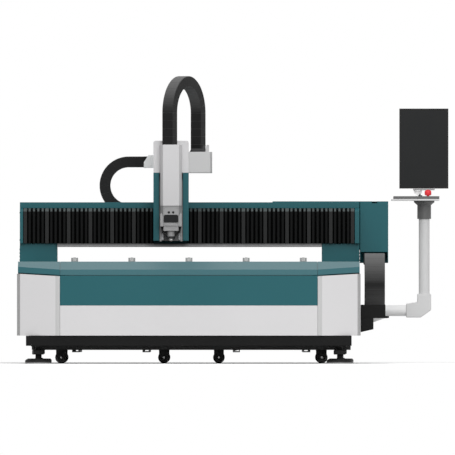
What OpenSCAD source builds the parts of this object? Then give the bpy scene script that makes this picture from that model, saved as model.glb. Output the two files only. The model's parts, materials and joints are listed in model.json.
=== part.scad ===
// Open-bed fiber laser cutting machine for sheets of 3 by 1.5 m.
// The front faces -Y, the origin is on the floor at the middle of the bed.

/* [Bed] */
// Length of the bed between its end panels
bed_l = 4500; // [4400:10:4800]
// Half width of the bed over its side panels
bed_half_w = 1058; // [1058:1:1070]
// Height of the slat tips above the floor
table_z = 624; // [618:1:630]
// Half width of the slats
slat_half_w = 770; // [700:5:775]
// Distance between slats
slat_pitch = 100; // [100:50:300]
// Width of one tooth on a slat
tooth_w = 70; // [55:5:110]
// Diameter of a foot pad
foot_d = 160; // [120:5:170]
// Distance of the feet from the middle of the bed
foot_x = 930; // [910:5:940]
// Height of the base rails above the floor
base_z = 110; // [108:1:118]

/* [End panels] */
// Half width of the flat end panels
panel_half_w = 794; // [780:1:800]
// Height where the lower end panel meets the upper one
panel_split_z = 359; // [340:1:400]
// Distance by which the corners fall back
corner_back = 56; // [40:1:60]
// Height of the top of the end cover
cover_top_z = 630; // [625:1:634]
// Depth of the end cover's slope
cover_run = 160; // [150:1:160]
// Thickness of the sheet metal
sheet = 4; // [3:0.5:5]

/* [Slag carts] */
// Length of a cart along the bed
cart_l = 2800; // [2400:50:2800]
// Height of a cart's rim
cart_rim_z = 185; // [150:1:188]
// Radius of a caster wheel
caster_r = 36.5; // [34:0.5:37]

/* [Gantry] */
// Place of the nozzle along the bed at rest
nozzle_y = -900; // [-1500:10:1000]
// Depth of the beam
beam_d = 300; // [280:5:300]
// Underside of the beam
beam_z = 748; // [740:1:750]
// Top of the beam
beam_top_z = 968; // [960:1:970]
// Left end of the gantry
gantry_x0 = -1057; // [-1060:1:-1045]
// Right end of the gantry
gantry_x1 = 1061; // [1050:1:1062]
// Width of a leg
leg_w = 233; // [225:1:235]
// Pitch radius of the gantry pinions
y_pinion_r = 40; // [35:1:42]
// Distance between bellows folds
fold_pitch = 27.4; // [24:0.1:36]
// Depth of the bellows folds
fold_d = 32; // [20:1:34]

/* [Carriage and head] */
// Place of the carriage across the bed at rest
carriage_x = -113; // [-750:1:750]
// Width of the tower
tower_w = 220; // [215:1:225]
// Top of the tower's coloured side covers
tower_z = 1188; // [1180:1:1200]
// Top of the tower's cap
cap_z = 1387; // [1370:1:1400]
// Tip of the nozzle
nozzle_z = 757; // [750:1:760]
// Underside of the head cover
head_cover_z0 = 981; // [970:1:985]
// Top of the head cover
head_cover_z1 = 1362; // [1340:1:1365]
// Pitch radius of the carriage pinion
x_pinion_r = 28; // [24:1:30]

/* [Cable chains] */
// Thickness of every chain
chain_t = 68; // [60:1:70]
// Middle radius of the cross chain's bend
x_chain_r = 148; // [130:1:150]
// Middle radius of the head chain's bend
z_chain_r = 197; // [190:1:200]
// Turn of the head chain's plane about the vertical
z_chain_turn = 63.4; // [60:0.1:66]
// Middle radius of the bed chain's bend
y_chain_r = 161; // [150:1:165]
// Length of one link
link_l = 46; // [40:1:60]

/* [Console] */
// Place of the support arm along the bed
arm_y = 420; // [380:5:900]
// Distance of the upright from the middle of the bed
upright_x = 1476; // [1450:1:1490]
// Outer diameter of the arm's tubes
tube_d = 68; // [60:1:70]
// Height of the horizontal tube's axis
arm_z = 330; // [310:1:335]
// Width of the monitor
monitor_w = 308; // [280:1:320]
// Height of the monitor
monitor_h = 503; // [400:1:520]

/* [Hidden] */
$fn = 48;

teal = "#2c5e65";
white = "#d5d4d6";
black = "#242424";
steel = "#909090";
light_grey = "#cfcfcf";

// Clearances: between sliding faces, between turning ones, and the seam of a welded joint
gap = 0.4;
run_gap = 0.05;
weld = 0.2;

// Bed frame
end_y = bed_l / 2;
base_top_z = base_z + 62;
base_half_w = 1004;
foot_h = 27;
frame_rail_w = 120;
foot_spread = 32;
inner_frame_y = 1500;
outer_frame_y = end_y - 85;
beam_in_x = 835;
bed_beam_z0 = 430;
bed_beam_z1 = 545;
panel_z0 = base_top_z + 1;
panel_z1 = 539;
cover_z0 = 546;
cover_band_z = 580;
corner_x = bed_half_w + 2;
fold_x = corner_x - 18;
corner_rise = 16;
corner_lip = 28;
side_panel_z0 = 195;
side_panel_t = 6;
side_x = bed_half_w - side_panel_t;
slat_t = 3;
slat_z0 = table_z - 90;
tooth_h = 12;
comb_top_z = 580;
comb_t = 20;
comb_xs = [-slat_half_w + 15, 0, slat_half_w - 15];
slat_span = 1500;
duct_x = -500;
duct_z = 270;

// Guides of the gantry along the bed
y_rail_x = 884;
y_rail_w = 28;
y_rail_h = 28;
rack_x = 1000;
rack_w = 30;
rack_z = 622;
guide_half_l = 2070;
deck_half_w = 866;
leg_z0 = 605;
leg_front = -60;
leg_back = 290;
y_pinion_z = rack_z + y_pinion_r + gap;
motor_side = 80;
motor_yg = 115;
motor_x1 = 955;
motor_l = 116;

// Gantry, with depths counted from the front face of its beam
head_yg = -293;
gantry_y = nozzle_y - head_yg;
cover_front = -38;
cover_z = 1005;
cover_raised_z = 1011;
cover_raised_x = 520;
trough_z = 920;
trough_back = 400;
bellows_front = -97;
bellows_x0 = gantry_x0 + 20;
bellows_x1 = gantry_x1 - 28;
bevel_h = 20;
bevel_d = 34;
x_rail_zs = [779, 934];
x_rail_h = 23;
x_rail_d = 24;
x_rack_z0 = 819;
x_rack_z1 = 849;
x_pinion_z = x_rack_z1 + x_pinion_r + gap;

// Carriage and head
plate_front = -62;
plate_back = -42;
tower_x0 = carriage_x - tower_w / 2;
tower_x1 = carriage_x + tower_w / 2;
side_cover_w = 36;
tower_front = -245;
frame_front = -190;
frame_half_w = tower_w / 2 - side_cover_w;
tower_z0 = 764;
z_rail_x = 55;
z_rail_w = 15;
screw_yg = -201;
screw_r = 6;
slide_front = -228;
slide_back = -210;
slide_half_w = frame_half_w - 2.5;
spacer_front = -250;
head_half_w = 64;
head_front = -335;
head_z0 = 856;
head_neck_z = 825;
head_tip_z = 791;
head_tip_r = 23;
nozzle_top_z = nozzle_z + 19;
cover_half_w = 67;
cover_face_half_w = 50;
cover_face = -342;

// Cable chains
x_chain_x = -380;
x_chain_z = 1112;
x_chain_yg = 305;
x_chain_w = 80;
x_chain_end_x = 950;
bracket_x = -285;
bridge_z0 = 1223;
bridge_z1 = 1302;
slant_w = 34;
slant_h = 36;
z_chain_x = -121;
z_chain_yg = -296;
z_chain_w = 73;
z_chain_z = 1562;
chain_box_z = 1318;
y_chain_x0 = 1088;
y_chain_w = 127;
tray_x0 = 1066;
tray_x1 = 1237;
tray_z = 294;
tray_front = -1907;
tray_wall_h = 70;
y_chain_z = tray_z + chain_t / 2 + y_chain_r;
y_chain_end = gantry_y + 150;
y_chain_bend = y_chain_end - 1350 - nozzle_y / 2;
y_chain_fixed = 243;
tray_back = y_chain_fixed + 35;
housing_x1 = 1242;
housing_z0 = 627;
housing_face_z = 695;
anchor_z = y_chain_z + y_chain_r + chain_t / 2;

// Console
elbow_half = 43.5;
elbow_top_z = 436;
socket_z0 = 907;
upright_top_z = 906.6;
spigot_r = 25;
socket_z1 = 994;
flare_z = 1012;
shelf_tray_z = 1021;
shelf_z = 1031;
shelf_top_z = 1049;
post_x = upright_x - 39.5;
tilt_z = 1075;
pin_r = 6;
monitor_z = 1098;
monitor_x = upright_x - 2;
monitor_t = 50;
screen_t = 2;
bezel = 12;
estop_x = upright_x + 23;
estop_y = arm_y - 115;
estop_r = 21.5;

// Slag carts
cart_x0 = -976;
cart_x1 = 13.3;
cart_z0 = 84;
caster_z = caster_r + 0.5;
caster_w = 26;
caster_xs = [-800, -158];
caster_y = cart_l / 4;
stiffener_xs = [-704, -267];
cart_mirror = 27;
right_caster_xs = [for (x = caster_xs) cart_mirror - x];

// Loading rollers
roller_pitch = 354;
roller_y = -1640;
roller_r = 24;
roller_z = 633;
roller_w = 16;
cheek_w = 12.5;
cheek_x = roller_w / 2 + 1 + cheek_w / 2;
axle_r = 5;

module box(x0, x1, y0, y1, z0, z1) {
    translate([x0, y0, z0])
        cube([x1 - x0, y1 - y0, z1 - z0]);
}

module both_sides() {
    children();
    mirror([1, 0, 0])
        children();
}

module both_ends() {
    children();
    mirror([0, 1, 0])
        children();
}

module at_gantry() {
    translate([0, gantry_y, 0])
        children();
}

module at_carriage() {
    translate([carriage_x, gantry_y, 0])
        children();
}

// A tube of square section along X
module tube_x(x0, x1, y0, y1, z0, z1, wall) {
    difference() {
        box(x0, x1, y0, y1, z0, z1);
        box(x0 - 1, x1 + 1, y0 + wall, y1 - wall, z0 + wall, z1 - wall);
    }
}

// A rod along X with its middle at the origin
module rod_x(r, l) {
    rotate([0, 90, 0])
        cylinder(r = r, h = l, center = true);
}

// A rod along Y with its middle at the origin
module rod_y(r, l) {
    rotate([90, 0, 0])
        cylinder(r = r, h = l, center = true);
}

// One quarter of the base: two cross rails are joined by a sill, and an upright carries the end panels
module base_frame() {
    inner = inner_frame_y - frame_rail_w / 2;
    outer = end_y - 15;
    for (y = [inner, outer - frame_rail_w])
        tube_x(-base_half_w, base_half_w, y, y + frame_rail_w, base_z, base_top_z, 6);
    both_sides() {
        box(870, 990, inner + frame_rail_w + weld, outer - frame_rail_w - weld, base_z, base_top_z);
        box(panel_half_w - 34, panel_half_w, end_y - sheet - 40, end_y - sheet,
            base_top_z + weld, bed_beam_z1);
    }
}

module base_rails() {
    color(black)
        both_ends()
            base_frame();
}

module bed_beams() {
    color(steel)
        both_sides() {
            difference() {
                box(beam_in_x, side_x, -end_y + 100, end_y - 100, bed_beam_z0, bed_beam_z1);
                box(beam_in_x + 10, side_x - 10, -end_y, end_y, bed_beam_z0 + 10, bed_beam_z1 - 10);
            }
            both_ends()
                for (y = [inner_frame_y, outer_frame_y - 60])
                    translate([foot_x, y, (base_top_z + bed_beam_z0) / 2])
                        cube([110, 110, bed_beam_z0 - base_top_z - 2 * weld], center = true);
        }
}

// Cross members carry three comb bars, and each comb slot holds one slat
module table_frame() {
    member_z0 = 470;
    member_z1 = 520;
    color(steel) {
        for (y = [-1600 : 400 : 1600])
            box(-beam_in_x, beam_in_x, y - 25, y + 25, member_z0, member_z1);
        difference() {
            for (x = comb_xs)
                box(x - comb_t / 2, x + comb_t / 2, roller_y - 30, 1640, member_z1 + weld, comb_top_z);
            for (y = [-slat_span : slat_pitch : slat_span])
                box(-slat_half_w, slat_half_w, y - slat_t / 2 - gap, y + slat_t / 2 + gap,
                    slat_z0, comb_top_z + 1);
        }
    }
}

function slat_outline() =
    let (n = floor(2 * slat_half_w / tooth_w), step = 2 * slat_half_w / n)
    concat(
        [[-slat_half_w, 0], [-slat_half_w, table_z - slat_z0 - tooth_h]],
        [for (i = [0 : 2 * n - 2])
            [-slat_half_w + (i + 1) * step / 2, table_z - slat_z0 - (i % 2 == 0 ? 0 : tooth_h)]],
        [[slat_half_w, table_z - slat_z0 - tooth_h], [slat_half_w, 0]]
    );

module support_slats() {
    color("#8c8478")
        for (y = [-slat_span : slat_pitch : slat_span])
            translate([0, y + slat_t / 2, slat_z0])
                rotate([90, 0, 0])
                    linear_extrude(slat_t)
                        polygon(slat_outline());
}

module levelling_foot() {
    rotate_extrude()
        polygon([
            [0, 0], [foot_d / 2, 0], [foot_d / 2, 18], [foot_d / 2 - 8, foot_h], [17, foot_h],
            [17, base_z], [0, base_z]
        ]);
    translate([0, 0, 56])
        cylinder(d = 76, h = 28, $fn = 6);
}

// The two rows of feet spread a little towards the back
module levelling_feet() {
    color("#1c1c1c")
        both_sides()
            for (y = [-outer_frame_y, -inner_frame_y, inner_frame_y, outer_frame_y])
                translate([foot_x + foot_spread * (y + outer_frame_y) / (2 * outer_frame_y), y, 0])
                    levelling_foot();
}

module end_lower_panels() {
    color(white) {
        box(-panel_half_w, panel_half_w, -end_y, -end_y + sheet, panel_z0, panel_split_z - 0.5);
        difference() {
            box(-panel_half_w, panel_half_w, end_y - sheet, end_y, panel_z0, panel_split_z - 0.5);
            translate([duct_x, end_y, duct_z])
                rod_y(76, 30);
        }
    }
}

module end_upper_panels() {
    color(teal)
        both_ends()
            box(-panel_half_w, panel_half_w, -end_y, -end_y + sheet, panel_split_z + 0.5, panel_z1 + 4);
}

// A folded corner sheet in plan, seen from above at the right front corner
module corner_plan() {
    fold_y = -end_y + corner_back * (fold_x - panel_half_w) / (corner_x - panel_half_w);
    turn_y = fold_y + 37;
    tail_y = -end_y + 200;
    polygon([
        [panel_half_w + 1, -end_y], [panel_half_w + corner_lip, -end_y], [fold_x, fold_y],
        [corner_x, turn_y], [corner_x, tail_y],
        [corner_x - sheet, tail_y], [corner_x - sheet, turn_y], [fold_x - sheet, fold_y + sheet],
        [panel_half_w + corner_lip, -end_y + sheet], [panel_half_w + 1, -end_y + sheet]
    ]);
}

module corner_panels() {
    color(white)
        both_sides()
            both_ends() {
                intersection() {
                    translate([0, 0, panel_z0])
                        linear_extrude(500)
                            corner_plan();
                    translate([0, end_y, 0])
                        rotate([90, 0, 0])
                            linear_extrude(2 * end_y)
                                polygon([
                                    [0, 0], [2000, 0],
                                    [corner_x + 1, panel_z1 + corner_rise], [panel_half_w, panel_z1]
                                ]);
                }
                box(side_x, corner_x - sheet, -end_y + 110, -end_y + 190, 440, 540);
            }
}

// The end cover's body, drawn smaller by inset on every side but its bottom
module cover_form(inset) {
    half = corner_x - 6 - inset;
    intersection() {
        translate([-half, -end_y, 0])
            rotate([90, 0, 90])
                linear_extrude(2 * half)
                    polygon([
                        [inset, 0], [inset, cover_band_z - inset],
                        [cover_run - inset, cover_top_z - inset * 1.2], [cover_run - inset, 0]
                    ]);
        translate([0, 0, cover_z0 - 10 * inset])
            linear_extrude(400)
                polygon([
                    [-panel_half_w, -end_y + inset], [panel_half_w, -end_y + inset],
                    [half, -end_y + corner_back + inset], [half, -end_y + cover_run - inset],
                    [-half, -end_y + cover_run - inset], [-half, -end_y + corner_back + inset]
                ]);
    }
}

module end_top_covers() {
    color(teal)
        both_ends() {
            difference() {
                cover_form(0);
                cover_form(sheet);
                both_sides() {
                    box(panel_half_w - 1, panel_half_w + 1, -end_y - 1, -end_y + cover_run + 1, 500, 700);
                    translate([panel_half_w, -end_y - 1, cover_z0])
                        rotate([0, -atan(corner_rise / (corner_x - panel_half_w)), 0])
                            translate([0, 0, -100])
                                cube([400, 110, 100]);
                }
            }
            both_sides()
                box(beam_in_x + 15, side_x - 15, -end_y + cover_run - sheet, -end_y + cover_run,
                    bed_beam_z1, cover_z0);
            box(-deck_half_w, deck_half_w, -end_y + cover_run + 2, roller_y - 32,
                bed_beam_z1, bed_beam_z1 + sheet);
        }
}

module side_panels() {
    color(white)
        both_sides()
            box(side_x, bed_half_w, -end_y + 204, end_y - 204, side_panel_z0, bed_beam_z1 + 10);
}

module y_guides() {
    color("#b8b8b8")
        both_sides() {
            box(y_rail_x - y_rail_w / 2, y_rail_x + y_rail_w / 2, -guide_half_l, guide_half_l,
                bed_beam_z1, bed_beam_z1 + y_rail_h);
            box(rack_x - rack_w / 2, rack_x + rack_w / 2, -guide_half_l, guide_half_l, bed_beam_z1, rack_z);
        }
}

module tray_support() {
    rotate([90, 0, 0])
        linear_extrude(12)
            polygon([
                [bed_half_w, tray_z - 12], [1141, tray_z - 12], [1141, 212], [tray_x0, side_panel_z0],
                [bed_half_w, side_panel_z0]
            ]);
}

module chain_tray() {
    color(black) {
        box(tray_x0, tray_x1, tray_front, tray_back, tray_z - 12, tray_z);
        box(tray_x0, y_chain_x0 - 0.5, tray_front, tray_back, tray_z, tray_z + tray_wall_h);
        box(tray_x0, y_chain_x0 + y_chain_w, tray_front, tray_front + sheet, tray_z, tray_z + tray_wall_h);
        for (i = [0 : 3])
            translate([0, tray_front + 14 + i * (tray_back - tray_front - 16) / 3, 0])
                tray_support();
    }
}

module roller_brackets() {
    color("#8a8a8a")
        difference() {
            union() {
                box(-slat_half_w, slat_half_w, roller_y - 22, roller_y + 22, comb_top_z, comb_top_z + 20);
                for (i = [-2 : 2], s = [-1, 1])
                    translate([i * roller_pitch + s * cheek_x, roller_y, comb_top_z + 45])
                        cube([cheek_w, 34, 60], center = true);
            }
            translate([0, roller_y, roller_z])
                rod_x(axle_r + run_gap, 2 * slat_half_w);
        }
}

module loading_rollers() {
    color("#c4c4c2")
        for (i = [-2 : 2])
            translate([i * roller_pitch, roller_y, roller_z]) {
                rod_x(roller_r, roller_w);
                rod_x(axle_r, roller_w + 2 + 2 * cheek_w);
            }
}

module exhaust_collar() {
    color(light_grey)
        translate([duct_x, end_y, duct_z])
            rotate([-90, 0, 0])
                rotate_extrude($fn = 96)
                    polygon([[76, 0], [92, 0], [92, 5], [80, 5], [80, 85], [76, 85]]);
}

module support_arm() {
    color(light_grey) {
        box(bed_half_w, bed_half_w + 12, arm_y - 70, arm_y + 70, arm_z - 110, arm_z + 90);
        translate([(bed_half_w + 12 + upright_x - 114) / 2, arm_y, arm_z])
            rod_x(tube_d / 2, upright_x - 114 - bed_half_w - 12);
        translate([0, arm_y + 6, 0])
            rotate([90, 0, 0])
                linear_extrude(12)
                    polygon([
                        [bed_half_w + 12, arm_z - 104], [1240, arm_z - 44], [1240, arm_z - 20],
                        [bed_half_w + 12, arm_z - 20]
                    ]);
    }
}

module arm_elbow() {
    x0 = upright_x - 114;
    x1 = upright_x + elbow_half;
    color("#bfbfbf")
        translate([0, arm_y + elbow_half, 0])
            rotate([90, 0, 0])
                linear_extrude(2 * elbow_half)
                    polygon([
                        [x0, arm_z - elbow_half], [x1 - 66, arm_z - elbow_half], [x1, arm_z + 3],
                        [x1, elbow_top_z],
                        [x1 - 2 * elbow_half, elbow_top_z], [x1 - 2 * elbow_half, arm_z + elbow_half + 12],
                        [x0, arm_z + elbow_half]
                    ]);
}

module arm_upright() {
    color(light_grey)
        translate([upright_x, arm_y, 0]) {
            translate([0, 0, elbow_top_z])
                cylinder(d = tube_d, h = upright_top_z - elbow_top_z);
            translate([0, 0, upright_top_z])
                cylinder(r = spigot_r, h = 60);
        }
}

// Flat outlines of a chain loop whose bend opens toward +X, with straight links and bent ones
module chain_links(lower, upper, r, t) {
    slit = 3;
    for (run = [[lower, -r], [upper, r]]) {
        n = max(1, round(run[0] / link_l));
        step = run[0] / n;
        for (i = [0 : n - 1])
            translate([i * step + slit / 2, run[1] - t / 2])
                square([step - slit, t]);
    }
    bends = round(180 * r / 57.3 / link_l);
    turn = 180 / bends;
    half = slit * 57.3 / r / 2;
    for (i = [0 : bends - 1]) {
        a0 = 90 + i * turn + half;
        a1 = 90 + (i + 1) * turn - half;
        polygon([
            (r - t / 2) * [cos(a0), sin(a0)], (r + t / 2) * [cos(a0), sin(a0)],
            (r + t / 2) * [cos(a1), sin(a1)], (r - t / 2) * [cos(a1), sin(a1)]
        ]);
    }
}

module chain_core(lower, upper, r, t) {
    for (run = [[lower, -r], [upper, r]])
        translate([0, run[1] - t / 2])
            square([run[0], t]);
    difference() {
        circle(r + t / 2);
        circle(r - t / 2);
        translate([0, -2 * r])
            square([2 * r, 4 * r]);
    }
}

module chain(lower, upper, r, width) {
    color("#2b2b2b") {
        linear_extrude(width)
            chain_links(lower, upper, r, chain_t);
        translate([0, 0, 6])
            linear_extrude(width - 12)
                chain_core(lower, upper, r, chain_t - 8);
    }
}

module y_chain() {
    translate([y_chain_x0, y_chain_bend, y_chain_z])
        rotate([90, 0, 90])
            chain(y_chain_fixed - y_chain_bend, y_chain_end - y_chain_bend, y_chain_r, y_chain_w);
}

// The last link of the cross chain ends in a slant that lies along the slant of its bracket
module x_chain() {
    end_u = bracket_x - x_chain_x;
    top = x_chain_r + chain_t / 2;
    slant_z = bridge_z0 + slant_h - x_chain_z;
    slant_u = slant_w * (top - slant_z) / (bridge_z1 - bridge_z0 - slant_h);
    color("#2b2b2b")
        at_gantry()
            translate([x_chain_x, x_chain_yg + x_chain_w, x_chain_z])
                rotate([90, 0, 0]) {
                    chain(x_chain_end_x - x_chain_x, end_u - gap, x_chain_r, x_chain_w);
                    linear_extrude(x_chain_w)
                        polygon([[end_u - gap, slant_z], [end_u + slant_u - gap, top], [end_u - gap, top]]);
                }
}

module z_chain() {
    at_gantry()
        translate([z_chain_x, z_chain_yg, 0])
            rotate([0, 0, z_chain_turn])
                translate([z_chain_r, z_chain_w / 2, z_chain_z])
                    rotate([90, 0, 0])
                        rotate([0, 0, -90])
                            chain(z_chain_z - head_cover_z1 - gap, z_chain_z - chain_box_z - gap,
                                z_chain_r, z_chain_w);
}

module caster_fork() {
    plate_t = 8;
    translate([0, 0, cart_z0 - plate_t / 2])
        cube([62, 60, plate_t], center = true);
    for (s = [-1, 1])
        difference() {
            translate([0, s * (caster_w / 2 + 4), (caster_z - 12 + cart_z0) / 2])
                cube([44, 6, cart_z0 - caster_z + 12], center = true);
            translate([0, 0, caster_z])
                rod_y(6 + run_gap, 100);
        }
}

// The left cart, an open tray on casters that rolls out sideways, with two hand holes in its outer wall
// and two channels under its floor
module slag_cart() {
    wall = 5;
    channel_half_w = 21;
    channel_h = 14;
    channel_wall = 4;
    y1 = cart_l / 2;
    difference() {
        box(cart_x0, cart_x1, -y1, y1, cart_z0, cart_rim_z);
        box(cart_x0 + wall, cart_x1 - wall, -y1 + wall, y1 - wall, cart_z0 + wall, cart_rim_z + 1);
        for (y = [-600, 600])
            box(cart_x0 - 1, cart_x0 + wall + 1, y - 65, y + 65, cart_rim_z - 45, cart_rim_z - 15);
    }
    for (x = stiffener_xs)
        difference() {
            box(x - channel_half_w, x + channel_half_w, -y1 + 4, y1 - 4, cart_z0 - channel_h, cart_z0);
            box(x - channel_half_w + channel_wall, x + channel_half_w - channel_wall, -y1, y1,
                cart_z0 - channel_h + channel_wall, cart_z0 - 1);
        }
    for (x = caster_xs, s = [-1, 1])
        translate([x, s * caster_y, 0])
            caster_fork();
}

module caster_wheels(x) {
    for (s = [-1, 1])
        translate([x, s * caster_y, caster_z]) {
            rod_y(caster_r, caster_w);
            rod_y(6, caster_w + 14);
        }
}

module slag_cart_left() {
    color(black)
        slag_cart();
}

module slag_cart_right() {
    color(black)
        translate([cart_mirror, 0, 0])
            mirror([1, 0, 0])
                slag_cart();
}

module cart_left_wheels_outer() {
    color("#303030")
        caster_wheels(caster_xs[0]);
}

module cart_left_wheels_inner() {
    color("#303030")
        caster_wheels(caster_xs[1]);
}

module cart_right_wheels_outer() {
    color("#303030")
        caster_wheels(right_caster_xs[0]);
}

module cart_right_wheels_inner() {
    color("#303030")
        caster_wheels(right_caster_xs[1]);
}

module gantry_beam() {
    color(teal)
        at_gantry()
            tube_x(gantry_x0 + 6, gantry_x1 - 6, 0, beam_d, beam_z, beam_top_z, 12);
}

// One leg, with rooms for its motor and pinion and a tunnel for the rack, drawn at the right side
module leg(x0, x1) {
    room_z = 715;
    tunnel_z = 630;
    difference() {
        box(x0, x1, leg_front, leg_back, leg_z0, beam_z);
        box(x0 + 8, motor_x1, motor_yg - 45, motor_yg + 45, leg_z0 - 1, room_z);
        box(rack_x - 35, rack_x + 35, motor_yg - 50, motor_yg + 50, leg_z0 - 1, room_z);
        box(rack_x - 40, rack_x + 40, leg_front - 1, leg_back + 1, leg_z0 - 1, tunnel_z);
        translate([rack_x - 40, motor_yg, y_pinion_z])
            rod_x(12 + run_gap, 60);
    }
}

module gantry_legs() {
    color(teal)
        at_gantry() {
            mirror([1, 0, 0])
                leg(-gantry_x0 - leg_w, -gantry_x0);
            leg(gantry_x1 - leg_w, gantry_x1);
            for (x = [[gantry_x0, bellows_x0, gantry_x0 + 6], [bellows_x1, gantry_x1, gantry_x1]]) {
                translate([x[0], 0, 0])
                    rotate([90, 0, 90])
                        linear_extrude(x[1] - x[0])
                            polygon([
                                [bellows_front - 3, beam_z + weld], [-weld, beam_z + weld],
                                [-weld, beam_top_z], [bellows_front + bevel_d, beam_top_z],
                                [bellows_front - 3, beam_top_z - bevel_h]
                            ]);
                box(x[2] - 6, x[2], 0, beam_d, beam_z + weld, beam_top_z);
            }
        }
}

module beam_top_cover() {
    color(teal)
        at_gantry() {
            difference() {
                box(gantry_x0, gantry_x1, cover_front, beam_d, beam_top_z, cover_z);
                box(gantry_x0 + sheet, gantry_x1 - sheet, cover_front + sheet, beam_d - sheet,
                    beam_top_z - 1, cover_z - sheet);
            }
            box(cover_raised_x, gantry_x1, cover_front, beam_d, cover_z, cover_raised_z);
            box(gantry_x0, gantry_x1, beam_d, trough_back, trough_z, trough_z + 6);
            box(gantry_x0, gantry_x1, trough_back - sheet, trough_back, trough_z + 6, cover_z);
        }
}

module beam_guard_strip() {
    color("#7c7c7d")
        at_gantry()
            box(gantry_x0 + leg_w + 1, gantry_x1 - leg_w - 1, bellows_front - 1, 40, beam_z - 22, beam_z);
}

module x_guides() {
    color("#b8b8b8")
        at_gantry() {
            for (z = x_rail_zs)
                box(bellows_x0 + 5, bellows_x1 - 5, -x_rail_d, 0, z, z + x_rail_h);
            box(bellows_x0 + 5, bellows_x1 - 5, -25, 0, x_rack_z0, x_rack_z1);
        }
}

module gantry_blocks() {
    color("#a8a8a8")
        at_gantry()
            both_sides()
                for (y = [-50, 170])
                    difference() {
                        box(y_rail_x - 34, y_rail_x + 34, y, y + 110, bed_beam_z1 + 8, leg_z0);
                        box(y_rail_x - y_rail_w / 2 - gap, y_rail_x + y_rail_w / 2 + gap, y - 1, y + 111,
                            bed_beam_z1, bed_beam_z1 + y_rail_h + gap);
                    }
}

module gantry_motors() {
    color("#3a3a3a")
        at_gantry()
            both_sides()
                translate([motor_x1 - motor_l / 2, motor_yg, y_pinion_z])
                    cube([motor_l, motor_side, motor_side], center = true);
}

module gantry_pinions() {
    color("#9a9a9a")
        at_gantry()
            both_sides()
                translate([0, motor_yg, y_pinion_z]) {
                    translate([rack_x, 0, 0])
                        rod_x(y_pinion_r, rack_w);
                    translate([(motor_x1 + rack_x) / 2 + weld, 0, 0])
                        rod_x(12, rack_x - motor_x1);
                }
}

// A tall hood over the gantry end of the bed chain, open below, with a cable slot in its upper front edge
module chain_housing() {
    front = -20;
    back = 290;
    color(teal)
        at_gantry() {
            difference() {
                box(tray_x0, housing_x1, front, back, housing_z0, cover_raised_z);
                box(tray_x0 + sheet, housing_x1 - sheet, front + sheet, back - sheet,
                    housing_z0 - 1, cover_raised_z - sheet);
                box(tray_x0 + sheet, housing_x1 - sheet, front - 1, front + sheet + 1,
                    housing_z0 - 1, housing_face_z);
                box(1140, 1172, front - 1, front + 70, cover_raised_z - 12, cover_raised_z + 1);
            }
            box(gantry_x1, tray_x0, 10, back - 10, 714, cover_raised_z);
            box(tray_x0 + sheet, housing_x1 - sheet, 60, 200, anchor_z, anchor_z + 8);
        }
}

// The outline of a folded wall in plan: every fifth fold, counted from phase, has a flat face
function fold_points(x0, x1, shift, phase) =
    let (n = round((x1 - x0) / fold_pitch), p = (x1 - x0) / n)
    [for (i = [0 : n - 1], k = [0 : 2])
        let (flat = i % 5 == phase ? 0.1 : 0.27)
        [x0 + p * (i + (k == 0 ? 0 : k == 1 ? flat : 1 - flat)), shift + (k == 0 ? fold_d : 0)]];

module bellows(x0, x1, phase) {
    wall = 4;
    front = concat(fold_points(x0, x1, bellows_front, phase), [[x1, bellows_front + fold_d]]);
    back = [for (i = [len(front) - 1 : -1 : 0]) front[i] + [0, wall]];
    color("#161616")
        at_gantry()
            difference() {
                translate([0, 0, beam_z + 0.5])
                    linear_extrude(beam_top_z - beam_z - 1)
                        polygon(concat(front, back));
                translate([0, bellows_front, beam_top_z - bevel_h])
                    rotate([30, 0, 0])
                        translate([x0 - 1, -100, 0])
                            cube([x1 - x0 + 2, 300, 100]);
            }
}

module bellows_left() {
    bellows(bellows_x0 + 0.5, tower_x0 - 0.5, 0);
}

module bellows_right() {
    bellows(tower_x1 + 0.5, bellows_x1 - 0.5, 2);
}

// The plate rides on four grooved blocks and carries a tongue for the chain bridge
module carriage_plate() {
    half = tower_w / 2;
    color(steel)
        at_carriage() {
            difference() {
                union() {
                    box(-half, half, plate_front, plate_back, tower_z0, tower_z - 1);
                    box(-67, 67, plate_front, plate_back, tower_z - 1, 1304);
                }
                translate([0, plate_front, x_pinion_z])
                    rod_y(10 + run_gap, 100);
            }
            for (z = x_rail_zs, s = [-1, 1])
                difference() {
                    translate([s * 70, (plate_back - 8) / 2, z + x_rail_h / 2])
                        cube([70, -8 - plate_back, 42], center = true);
                    box(-half, half, -x_rail_d - gap, 0, z - gap, z + x_rail_h + gap);
                }
        }
}

module tower_frame() {
    color(steel)
        at_carriage() {
            difference() {
                box(-frame_half_w, frame_half_w, frame_front, plate_front, tower_z0, tower_z - 4);
                box(12 - frame_half_w, frame_half_w - 12, frame_front + 15, plate_front + 1,
                    tower_z0 - 1, tower_z);
            }
            difference() {
                box(-frame_half_w, frame_half_w, tower_front + 6, plate_front, tower_z - 4, tower_z + 4);
                translate([0, screw_yg, tower_z])
                    cylinder(r = screw_r + run_gap, h = 40, center = true);
            }
        }
}

module tower_sides() {
    half = tower_w / 2;
    wall = 3;
    color(teal)
        at_carriage()
            both_sides()
                difference() {
                    box(frame_half_w, half, tower_front, plate_front, tower_z0, tower_z);
                    box(frame_half_w + wall, half - wall, tower_front + wall, plate_front + 1,
                        tower_z0 + wall, tower_z - wall);
                }
}

// A front outline with two round upper corners
module cap_outline(inset) {
    half = tower_w / 2 - inset;
    r = 12 - inset;
    top = cap_z - inset;
    translate([-half, tower_z - inset])
        square([2 * half, top - r - tower_z + inset]);
    translate([r - half, tower_z])
        square([2 * half - 2 * r, top - tower_z]);
    for (s = [-1, 1])
        translate([s * (half - r), top - r])
            circle(r);
}

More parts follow.
